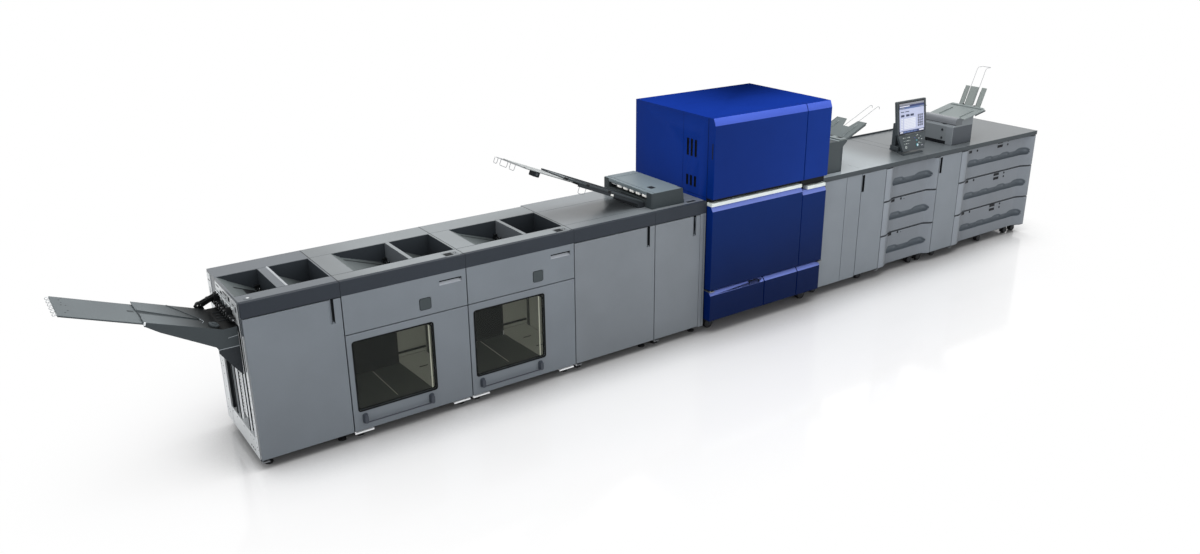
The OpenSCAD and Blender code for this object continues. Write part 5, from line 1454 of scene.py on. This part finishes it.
# painted shadow: dark strips under the worktop's front edge, above the bridge and feeder cabinets
p = Piece()
for x0, x1 in ((X_BRI + 8, X_FDA - 4), (X_FDA + 4, X_FDB - 4), (X_FDB + 4, X_END - 4)):
    p.box(x0, x1, -3, 2, 957.2, 960.8, 0.8)
p.finish("worktop_shadow_gap", ["worktop_edge"], "root", "worktop_pale")

# ---------------------------------------------------------------- bypass stand and tray
# the stand's range in x, up to its overhang, and in y
SX0, SX1, SY0, SY1 = sizes("bypass_stand")[:4]
SX1 -= 46
p = Piece()
side = [(SX0, 997.3), (SX1, 997.3), (SX1, 1197), (SX1 + 46, 1235), (SX1 + 40, 1247), (SX0, 1247)]
p.prism(side, "y", SY0, SY1, 3.0, segments=3)
p.finish("bypass_stand_skin", ["stand_dark"], "root", "tray_pale", ("bypass_stand",))
p = Piece()
# front cover seam, foot shadow, hinge line and the pale lip with its three slots
p.box(SX0 + 6, SX1 - 5, SY0 - 0.5, SY0 + 1, 1000, 1192, 0.6)
p.box(SX1 - 20, SX1 - 18.6, SY0 - 0.7, SY0 + 0.2, 1003, 1190, 0, 2)
p.box(SX0 + 3, SX1 - 2, SY0 - 0.6, SY1 + 0.6, 997.4, 1001.5, 0.5, 2)
p.box(SX1 - 0.6, SX1 + 0.7, SY0 + 8, SY1 - 8, 1006, 1188, 0.5)
p.prism([(SX1 - 62, 1246.6), (SX1 + 38, 1246.6), (SX1 + 44.5, 1237), (SX1 + 47, 1238.2),
         (SX1 + 40, 1249.6), (SX1 - 62, 1249.6)], "y", SY0 + 2, SY0 + 308, 0.6, 1)
for k in range(3):
    x = SX1 - 14 + 19 * k
    p.box(x, x + 8, SY0 + 18, SY0 + 108, 1249.2, 1250.4, 0.3, 2)
p.finish("bypass_stand_fittings", ["stand_dark", "stand_lip", "slot_black"], "root", "tray_pale")
ON_BYPASS = slope_at(4736, 1247.3, -23.4)
p = Piece()
bypass = p.on(ON_BYPASS)
notch = [(0, 60), (246, 60), (246, 152), (152, 170), (152, 232), (246, 271), (246, 370), (0, 370)]
bypass.prism(notch, "z", 3.2, 10, 1.4, segments=2)
under = [(4, 64), (240, 64), (240, 148), (147, 166), (147, 236), (240, 275), (240, 366), (4, 366)]
bypass.prism(under, "z", 0, 3.4, 0.8, 1)
p.box(4660.4, 4739, 60, 370, 1247.6, 1257.2, 2.0)
# raised guides on the tray, its edge trims, ribs under it, and a lid over its root with three slots
for y in (112, 306):
    bypass.box(20, 196, y, y + 7, 9.6, 15, 2.0, 2)
    bypass.box(40, 176, y + 1.5, y + 5.5, 14.5, 17, 1.0)
for y0, y1 in ((60, 63), (367, 370)):
    bypass.box(0, 244, y0, y1, 8, 12.2, 1.0, 1)
for y in (60, 350):
    bypass.box(2, 236, y + 4, y + 14, -9, 0.6, 1.5, 1)
p.box(4664, 4734, 66, 364, 1256.8, 1258.6, 0.8, 2)
for k in range(3):
    y = 92 + 100 * k
    p.box(4700, 4728, y, y + 52, 1258.2, 1259.6, 0.5, 3)
p.finish("bypass_tray_skin", ["bypass_grey", "stand_dark", "bypass_light", "slot_black"], "root",
         "tray_pale", ("bypass_tray",))

# ---------------------------------------------------------------- control panel
# the panel's left side
PX = sizes("control_panel")[0]
PANEL = at(PX, 0, ON_WORKTOP)


def lean_back(y, z, degrees):
    """Frame of a panel face that leans back: x along it, y into it, z up it."""
    return at(PX, y, ON_WORKTOP + z) @ Matrix.Rotation(math.radians(-degrees), 4, "X")


ON_SCREEN = lean_back(134, 168, 8)
ON_KEYS = lean_back(100, 26, math.degrees(math.atan2(34, 142)))
p = Piece(PANEL)
screen = p.on(ON_SCREEN)
keys = p.on(ON_KEYS)
screen.plate(0, 374, 0.6, 282.4, 9, 0, 25.4, 3.0)
keys_side = [(6, 144), (52, 4), (330, 4), (366, 144)]
keys.prism(keys_side, "y", 0.4, 23, 2.5)
screen.plate(14, 360, 14, 270, 8, 25.2, 25.9, 0.2)
p.rod((131, 204, 200), (219, 204, 200), 17.8, 40, bevel=2)
p.box(132, 218, 153, 204, 183, 217, 3)
screen.rod((370, 12, 214), (386, 12, 214), 6.5, 20, 1, bevel=1.5)
p.finish("control_panel_skin", ["panel_dark", "plastic_black"], "control_panel", "panel_dark",
         ("control_panel",))
p = Piece(PANEL)
screen = p.on(ON_SCREEN)
# black glass, then the picture as layers of thin plates
screen.plate(16, 352, 4, 272, 5, -0.9, 2.0, 0.4)
# left, right, bottom and top of the picture
L, R, B, T = 25, 343, 12, 262


def tile(x0, x1, z0, z1, mat, layer=1, r=1.2):
    screen.plate(x0, x1, z0, z1, r, -0.9 - 0.35 * layer, -0.8, 0, mat)


tile(L, R, B, T, 1)
tile(L, R, T - 17, T, 2, 2)
tile(L, R, T - 34, T - 17, 3, 2)
tile(L, R, T - 48, T - 34, 4, 2)
tile(L, R, B, B + 20, 3, 2)
tile(L + 4, L + 130, T - 30, T - 22, 5, 3)
tile(L + 4, L + 64, T - 45, T - 38, 2, 3)
tile(R - 56, R - 6, T - 45, T - 38, 2, 3)
for k in range(5):
    tile(L + 6 + 44 * k, L + 42 + 44 * k, B + 4, B + 15, 4 if k else 5, 3)
tile(R - 66, R - 8, B + 4, B + 15, 5, 3)
# labels, three dark keys, table and number pad
tile(L + 16, L + 60, T - 74, T - 68, 6, 2)
tile(L + 74, L + 124, T - 74, T - 68, 6, 2)
tile(R - 44, R - 12, T - 64, T - 59, 7, 2)
for a, b in ((18, 62), (84, 128), (140, 184)):
    tile(L + a, L + b, T - 112, T - 94, 6, 2, 2.5)
tile(L + 14, L + 44, B + 34, T - 128, 5, 2)
tile(L + 58, L + 206, B + 34, T - 128, 5, 2)
for k in range(6):
    z = B + 44 + 13 * k
    tile(L + 62, L + 202, z, z + 1.6, 7, 3, 0.6)
    tile(L + 18, L + 40, z, z + 5, 7, 3, 1)
for k in range(5):
    for j in range(3):
        x, z = R - 82 + 24 * j, B + 42 + 21 * k
        tile(x, x + 19, z, z + 16, 6, 2, 2)
        tile(x + 7.5, x + 11.5, z + 5, z + 11, 5, 3, 0.6)
p.finish("panel_screen", ["screen_black", "screen_pale", "screen_grey", "screen_navy",
                          "screen_slate", "screen_white", "screen_key", "screen_line"],
         "control_panel", "panel_dark")
p = Piece(PANEL)
keys = p.on(ON_KEYS)
# keys under the screen


def key(x, z, w, h, mat, rise=2.6, r=2.0):
    keys.plate(x - w / 2, x + w / 2, z - h / 2, z + h / 2, r, -rise, 1.2, 0.7, mat)


for j, z in enumerate((118, 92, 68)):
    for k in range(4 - (j == 2)):
        key(70 + 24 * k + 4 * j, z, 14, 7, 1 if (j + k) % 3 else 0)
        key(70 + 24 * k + 4 * j, z + 9.5, 5, 2, 4, 0.9, 0.8)
keys.rod((92, 1, 38), (92, -3.4, 38), 11.5, 32, bevel=1.5)
keys.rod((92, -3.2, 38), (92, -4.0, 38), 7.5, 28, 1)
for x, z, mat in ((214, 104, 2), (236, 82, 3), (252, 126, 0), (266, 96, 0), (292, 110, 1),
                  (300, 86, 0), (262, 60, 0), (286, 54, 1), (236, 122, 1)):
    key(x, z, 13, 8, mat)
keys.rod((240, 1, 42), (240, -3.8, 42), 12.5, 32, 3, bevel=1.6)
keys.rod((240, -3.6, 42), (240, -4.4, 42), 8.5, 28, 5)
for k in range(2):
    keys.rod((292 + 16 * k, 1, 34), (292 + 16 * k, -1.6, 34), 3, 16, 5)
keys.box(56, 326, -0.2, 1.2, 133.6, 135.2, 0.3, 4)
p.finish("panel_keys", ["key_white", "key_grey", "key_blue", "key_cyan", "screen_black",
                        "screen_white"], "control_panel", "panel_dark")

# stand: two tiers, column and fork with its pin
p = Piece(PANEL)
tier = [(46, 93), (308, 93), (292, 329), (150, 329)]
p.prism(tier, "z", 0, 8, 2.0, angle=20)
p.prism([(54, 98), (300, 98), (285, 323), (155, 323)], "z", 7.9, 14, 3.0, angle=20)
p.prism([(92, 191), (258, 191), (250, 299), (118, 299)], "z", 13, 50, 4.0, angle=20)
p.box(112, 238, 240.5, 283.5, 49, 240, 6, segments=3)
p.box(122, 228, 283, 285.4, 60, 228, 1.5, 1)
for x in (112, 220):
    p.box(x + 0.3, x + 17.7, 206, 241, 182.5, 217.5, 2.5)
    p.rod((x + 0.2, 204, 200), (x + 17.8, 204, 200), 17.9, 40, bevel=2)
p.rod((111, 204, 200), (239, 204, 200), 7.9, 24, 2)
p.rod((106, 204, 200), (112, 204, 200), 11, 24, 2, bevel=1.5)
p.finish("panel_stand_skin", ["panel_dark", "plastic_black", "hinge_steel"], "root", "panel_dark",
         ("panel_stand",))

# ---------------------------------------------------------------- top feeder
# the feeder's left side, behind its knobs
FX = sizes("top_feeder")[0] + 5
FEEDER = at(FX, 0, ON_WORKTOP)
# its front and back
FY0, FY1 = 88, 440


def deck_height(x):
    """Height of the sloped deck over the worktop at x."""
    return 212 + 58 * (x - 118) / 310


p = Piece(FEEDER)
profile = [(0, 0), (275, 0), (275, deck_height(275)), (118, deck_height(118)),
           (118, 172), (30, 172), (8, 168), (0, 160)]
p.prism(profile, "y", FY0, FY1, 2.5, segments=3, angle=15)
# rounded lid bar over the ledge, with a slim cap at its near end
bar = [(36, 172)]
for k in range(13):
    a = math.radians(180 - 15 * k)
    bar.append((77 + 41 * math.copysign(abs(math.cos(a)) ** 0.6, math.cos(a)),
                196 + 36 * abs(math.sin(a)) ** 0.7))
bar.append((118, 172))
p.prism(bar, "y", FY0 + 5, FY1 - 2, 1.5, 1, angle=60)
p.prism([(x, z - 1.5) for x, z in bar], "y", FY0 + 0.3, FY0 + 5, 1.2, 2, angle=60)
p.finish("top_feeder_skin", ["feeder_top_grey", "lid_bar", "lid_cap"], "root", "tray_pale",
         ("top_feeder",))
p = Piece(FEEDER)
# corner post, side panel behind it, dark notch as a painted shadow, knobs, front panel in a darker
# grey as painted shade, and ledge
p.box(-1.2, 1.5, FY0 + 1, FY0 + 68, 1, 158, 1.2)
p.box(-0.2, 1.5, FY0 + 70, FY1 - 3, 30, 158, 1.0, 1)
p.box(-0.5, 2, FY0 + 68.2, FY1 - 60, 1.2, 29, 0.4, 2)
p.box(4, 272, FY0 - 0.6, FY0 + 1.5, 3, 158, 1.2, 3)
p.box(2, 273, FY0 - 0.4, FY0 + 1, 0.4, 2.6, 0.4, 2)
for z in (53, 125):
    p.rod((-5, FY0 + 110, z), (0.5, FY0 + 110, z), 10, 28, 2, bevel=1.5)
    p.rod((-5.6, FY0 + 110, z), (-4.9, FY0 + 110, z), 5, 20, 4)
p.box(10, 33, FY0 + 8, FY1 - 6, 168, 172.6, 1.5)
p.box(12, 30, FY0 + 90, FY0 + 130, 172, 174, 0.8, 2)
p.box(33.4, 35, FY0 + 4, FY1 - 3, 173, 176, 0.5, 2)
p.finish("top_feeder_fittings", ["feeder_top_light", "feeder_top_grey", "slot_black",
                                 "feeder_top_front_painted_shade", "panel_dark"], "root", "tray_pale")

# its deck, lip and prongs
ON_DECK = slope_at(FX + 118, ON_WORKTOP + deck_height(118), -math.degrees(math.atan2(58, 310)))
FOOT_X, FOOT_Z = FX + 411, ON_WORKTOP + deck_height(414) + 2
ON_PRONG = slope_at(FOOT_X, FOOT_Z, math.degrees(math.atan2(0.42, 1)))
p = Piece()
deck_top, prong = p.on(ON_DECK), p.on(ON_PRONG)
span = math.hypot(58, 310)
deck = [(0.5, 70), (span - 34, 70), (span - 8, 84), (span - 2, 108), (span - 2, 404),
        (span - 12, 432), (span - 40, 440), (0.5, 440)]
deck_top.prism(deck, "z", 0.6, 11.5, 2.2, angle=20)
under = [(6, 76), (span - 36, 76), (span - 14, 88), (span - 8, 110), (span - 8, 400),
         (span - 18, 428), (span - 44, 434), (6, 434)]
deck_top.prism(under, "z", 0.6, 1.2, 0.3, 1)
deck_top.box(span - 46, span - 16, 92, 418, 11, 20, 4, segments=3)
deck_top.box(159, span - 12, 71, 76, -12, 1.5, 1.5, 1)
for y in (128, 342):
    deck_top.box(24, 210, y, y + 9, 11, 21, 2.5)
height = 178 * math.hypot(0.42, 1)
for y0, y1 in ((131, 178), (211, 293), (305, 346)):
    prong.box(-6, 5, y0, y1, 2, height - 3, 2.2, 2)
    for y in (y0 + 3, y1 - 6.5):
        prong.box(-8.0, -5, y, y + 3.5, 10, height - 12, 1.0, 2)
    prong.box(4.5, 6.5, y0 + 3, y1 - 3, 8, height - 16, 0.5, 1)
for y in (185, 298):
    prong.box(-12, 6, y - 6, y + 10, -4, 22, 2, 3)
for y0, y1 in ((178, 181), (346, 349)):
    prong.box(-4, 5, y0, y1, 12, height - 40, 0.5, 3)
p.finish("top_feeder_tray_skin", ["deck_green", "stand_dark", "prong_green", "slot_black"], "root",
         "tray_pale", ("top_feeder_tray",))


# ---------------------------------------------------------------- wires of the trays
p = Piece()
out_tray = p.on(ON_OUT)
bypass = p.on(ON_BYPASS)
# loop at the output tray's tip: from W0 out to W1, over the range WY
W0, W1, WY = -1020.3, -1076.3, (160, 420)
out_tray.wire([(W0, WY[0], -16), (W1, WY[0], -16), (W1, WY[1], -16), (W0, WY[1], -16)], 2.0,
              bend=14)
for a, b in ((0, 64), (100, 194), (236, 280)):
    ya, yb = WY[0] + a * 260 / 280, WY[0] + b * 260 / 280
    out_tray.wire([(W1 - 4.3, ya, -16), (W1 - 4.3, ya, -54), (W1 - 4.3, yb, -54),
                   (W1 - 4.3, yb, -16)], 2.0, bend=10)
ys = TY0 + 13.3
out_tray.wire([(-560, ys, -16), (-560, ys, -76), (-504, ys, -76), (-504, ys, -16)], 2.0, bend=12)
for y in (158, 232):
    bypass.wire([(108, y, -2.3), (494, y, -2.3), (512, y, -14.3), (506, y, -32.3)], 2.0, bend=10)
tops = [(FOOT_X + 12.6, FOOT_Z + 28), (FOOT_X + 0.42 * (1587 - FOOT_Z), 1587)]
ya, yb = 208.7, 295.3
p.wire([(tops[0][0], ya, tops[0][1]), (tops[1][0], ya, tops[1][1]), (tops[1][0] + 16, ya, 1605),
        (tops[1][0] + 80, ya, 1605), (tops[1][0] + 80, yb, 1605), (tops[1][0] + 16, yb, 1605),
        (tops[1][0], yb, tops[1][1]), (tops[0][0], yb, tops[0][1])], 2.0, bend=12)
p.finish("tray_wires_skin", ["wire_bright"], "root", "wire", ("tray_wires",))

# ---------------------------------------------------------------- feet, toe plates and casters
p = Piece()
for a, b in zip(STATIONS, STATIONS[1:]):
    for x in (a + 56, b - 56):
        for y in (75, 598):
            p.rod((x, y, 0.1), (x, y, 9), 25, 40, bevel=2)
            p.rod((x, y, 8.5), (x, y, 14), 17, 32, tip=11)
            p.rod((x, y, 13), (x, y, 53.7), 8, 20, 1)
            p.rod((x, y, 30), (x, y, 40), 14, 6, 1, bevel=1)
            p.rod((x, y, 48), (x, y, 53.7), 17, 28, bevel=1)
p.finish("feet_skin", ["rubber_black", "bay_dark"], "root", "black_plastic", ("feet",))
p = Piece()
# pale toe plates under the stackers' corners
for x in (X_ST1, X_ST2):
    for a, b in ((4, 120), (651, 765)):
        p.box(x + a, x + b, 1.5, 60, 49.6, 53.8, 0.8)
        p.box(x + a, x + b, 0.6, 3.6, 44, 53.4, 0.8)
# dark frame under each cabinet
for a, b in zip(STATIONS, STATIONS[1:]):
    for y in (52, 620):
        p.box(a + 110, b - 110, y, y + 22, 40, 53.6, 1, 1)
p.finish("toe_plates", ["toe_white", "bay_dark"], "root", "cabinet_grey")


def add_caster(p, x, y, top, r):
    """Twin-wheel caster: plate, swivel neck, fork hood and two tyres with grey hubs."""
    p.box(x - 28, x + 28, y - 24, y + 24, top - 4.4, top - 0.4, 1, 2)
    p.rod((x, y, top - 10), (x, y, top - 4), 20, 28, 2, bevel=1.5)
    arc = [math.radians(a) for a in range(-10, 200, 15)]
    hood = [(x + 6 + (r - 6) * math.cos(a), r + 1 + (r - 4) * math.sin(a)) for a in arc]
    if top > 80:
        p.rod((x, y, r + 25), (x, y, top - 9), 10, 24, 2)
    p.prism(hood, "y", y - 4, y + 4, 1.2, 1)
    for a, b, face, out in ((y - 21, y - 5, y - 21, -1), (y + 5, y + 21, y + 21, 1)):
        p.rod((x, a, r + 0.1), (x, b, r + 0.1), r, 48, bevel=3.5)
        p.rod((x, face + out * 0.9, r), (x, face - out * 2, r), 17, 36, 3, bevel=0.8)
        p.rod((x, face + out * 1.8, r), (x, face, r), 6, 24, 1, bevel=0.6)
        for k in range(5):
            t = 2 * math.pi * k / 5
            p.rod((x + 11 * math.cos(t), face + out * 1.2, r + 11 * math.sin(t)),
                  (x + 11 * math.cos(t), face, r + 11 * math.sin(t)), 2.6, 10, 1)


p = Piece()
for x in (X_ENG + 90, X_BRI - 90):
    for y in (60, 763):
        add_caster(p, x, y, 97, 38)
for x in (X_BRI + 90, X_FDA - 153, X_FDB - 480, X_FDB - 358, X_FDB - 154, X_END - 587,
          X_END - 171, X_END - 48):
    for y in (96, 710):
        add_caster(p, x, y, 75, 31)
p.finish("casters_skin", ["rubber_black", "plastic_black", "bay_dark", "hub_grey"], "root",
         "wheel_black", ("casters",))

# ---------------------------------------------------------------- rear of the line
p = Piece()
PAINT = {"left": 0, "engine": 1, "right": 2}
REAR = [(a, b, 658, 54, 818, "left") for a, b in zip(STATIONS[:3], STATIONS[1:])]
REAR += [(a, b, 681, 54, 1019, "left") for a, b in zip(STATIONS[3:], STATIONS[4:])]
REAR += [(X_ENG, X_BRI, 853 - REAR_INSET, 97, 1616, "engine")]
REAR += [(a, b, 800, 75, 961, "right") for a, b in ((X_BRI, X_FDA), (X_FDA, X_FDB), (X_FDB, X_END))]
LIFT = 1.6
for x0, x1, y, z0, z1, kind in REAR:
    rows, slots = [(z0 + 16, z1 - 16)], [(z0 + 90, 10)]
    if kind == "engine":
        rows, slots = [(120, 560), (568, 1080), (1088, 1600)], [(640, 14), (1160, 16)]
    for low, high in rows:
        p.plate(x0 + 12, x1 - 12, low, high, 4, y - 0.6, y + LIFT, 0.8, PAINT[kind])
        for x in (x0 + 22, (x0 + x1) / 2, x1 - 22):
            for z in (low + 10, (low + high) / 2, high - 10):
                p.screw(x, y + LIFT - 0.2, z, 4, (0, 1, 0), 3)
    for base, count in slots:
        for z in range(base, base + 14 * count, 14):
            for c in (0.3, 0.62):
                xa = x0 + (x1 - x0) * c
                p.box(xa, xa + 110, y + LIFT - 0.3, y + LIFT + 0.35, z, z + 6, 0, 4)
# power inlet, switch and link sockets on the engine's rear cover
y = 853 - REAR_INSET + LIFT
p.plate(X_ENG + 120, X_ENG + 196, 150, 236, 5, y - 0.4, y + 2.6, 0.8, 5)
p.plate(X_ENG + 132, X_ENG + 184, 162, 200, 8, y + 2.2, y + 3.2, 0.3, 4)
for x in (146, 158, 170):
    p.box(X_ENG + x - 1.6, X_ENG + x + 1.6, y + 3.0, y + 4.2, 174, 188, 0.3, 3)
p.plate(X_ENG + 140, X_ENG + 176, 208, 228, 3, y + 2.2, y + 4.6, 0.8, 5)
for k in range(3):
    p.plate(X_ENG + 240 + 44 * k, X_ENG + 272 + 44 * k, 160, 184, 3, y - 0.3, y + 1.8, 0.5, 5)
    p.box(X_ENG + 246 + 44 * k, X_ENG + 266 + 44 * k, y + 1.6, y + 2.1, 165, 179, 0, 4)
p.finish("rear_covers", ["cabinet_grey_2", "engine_blue_side_painted_shade", "feeder_grey", "hinge_steel",
                         "slot_black", "plastic_black"], "root", "cabinet_grey")
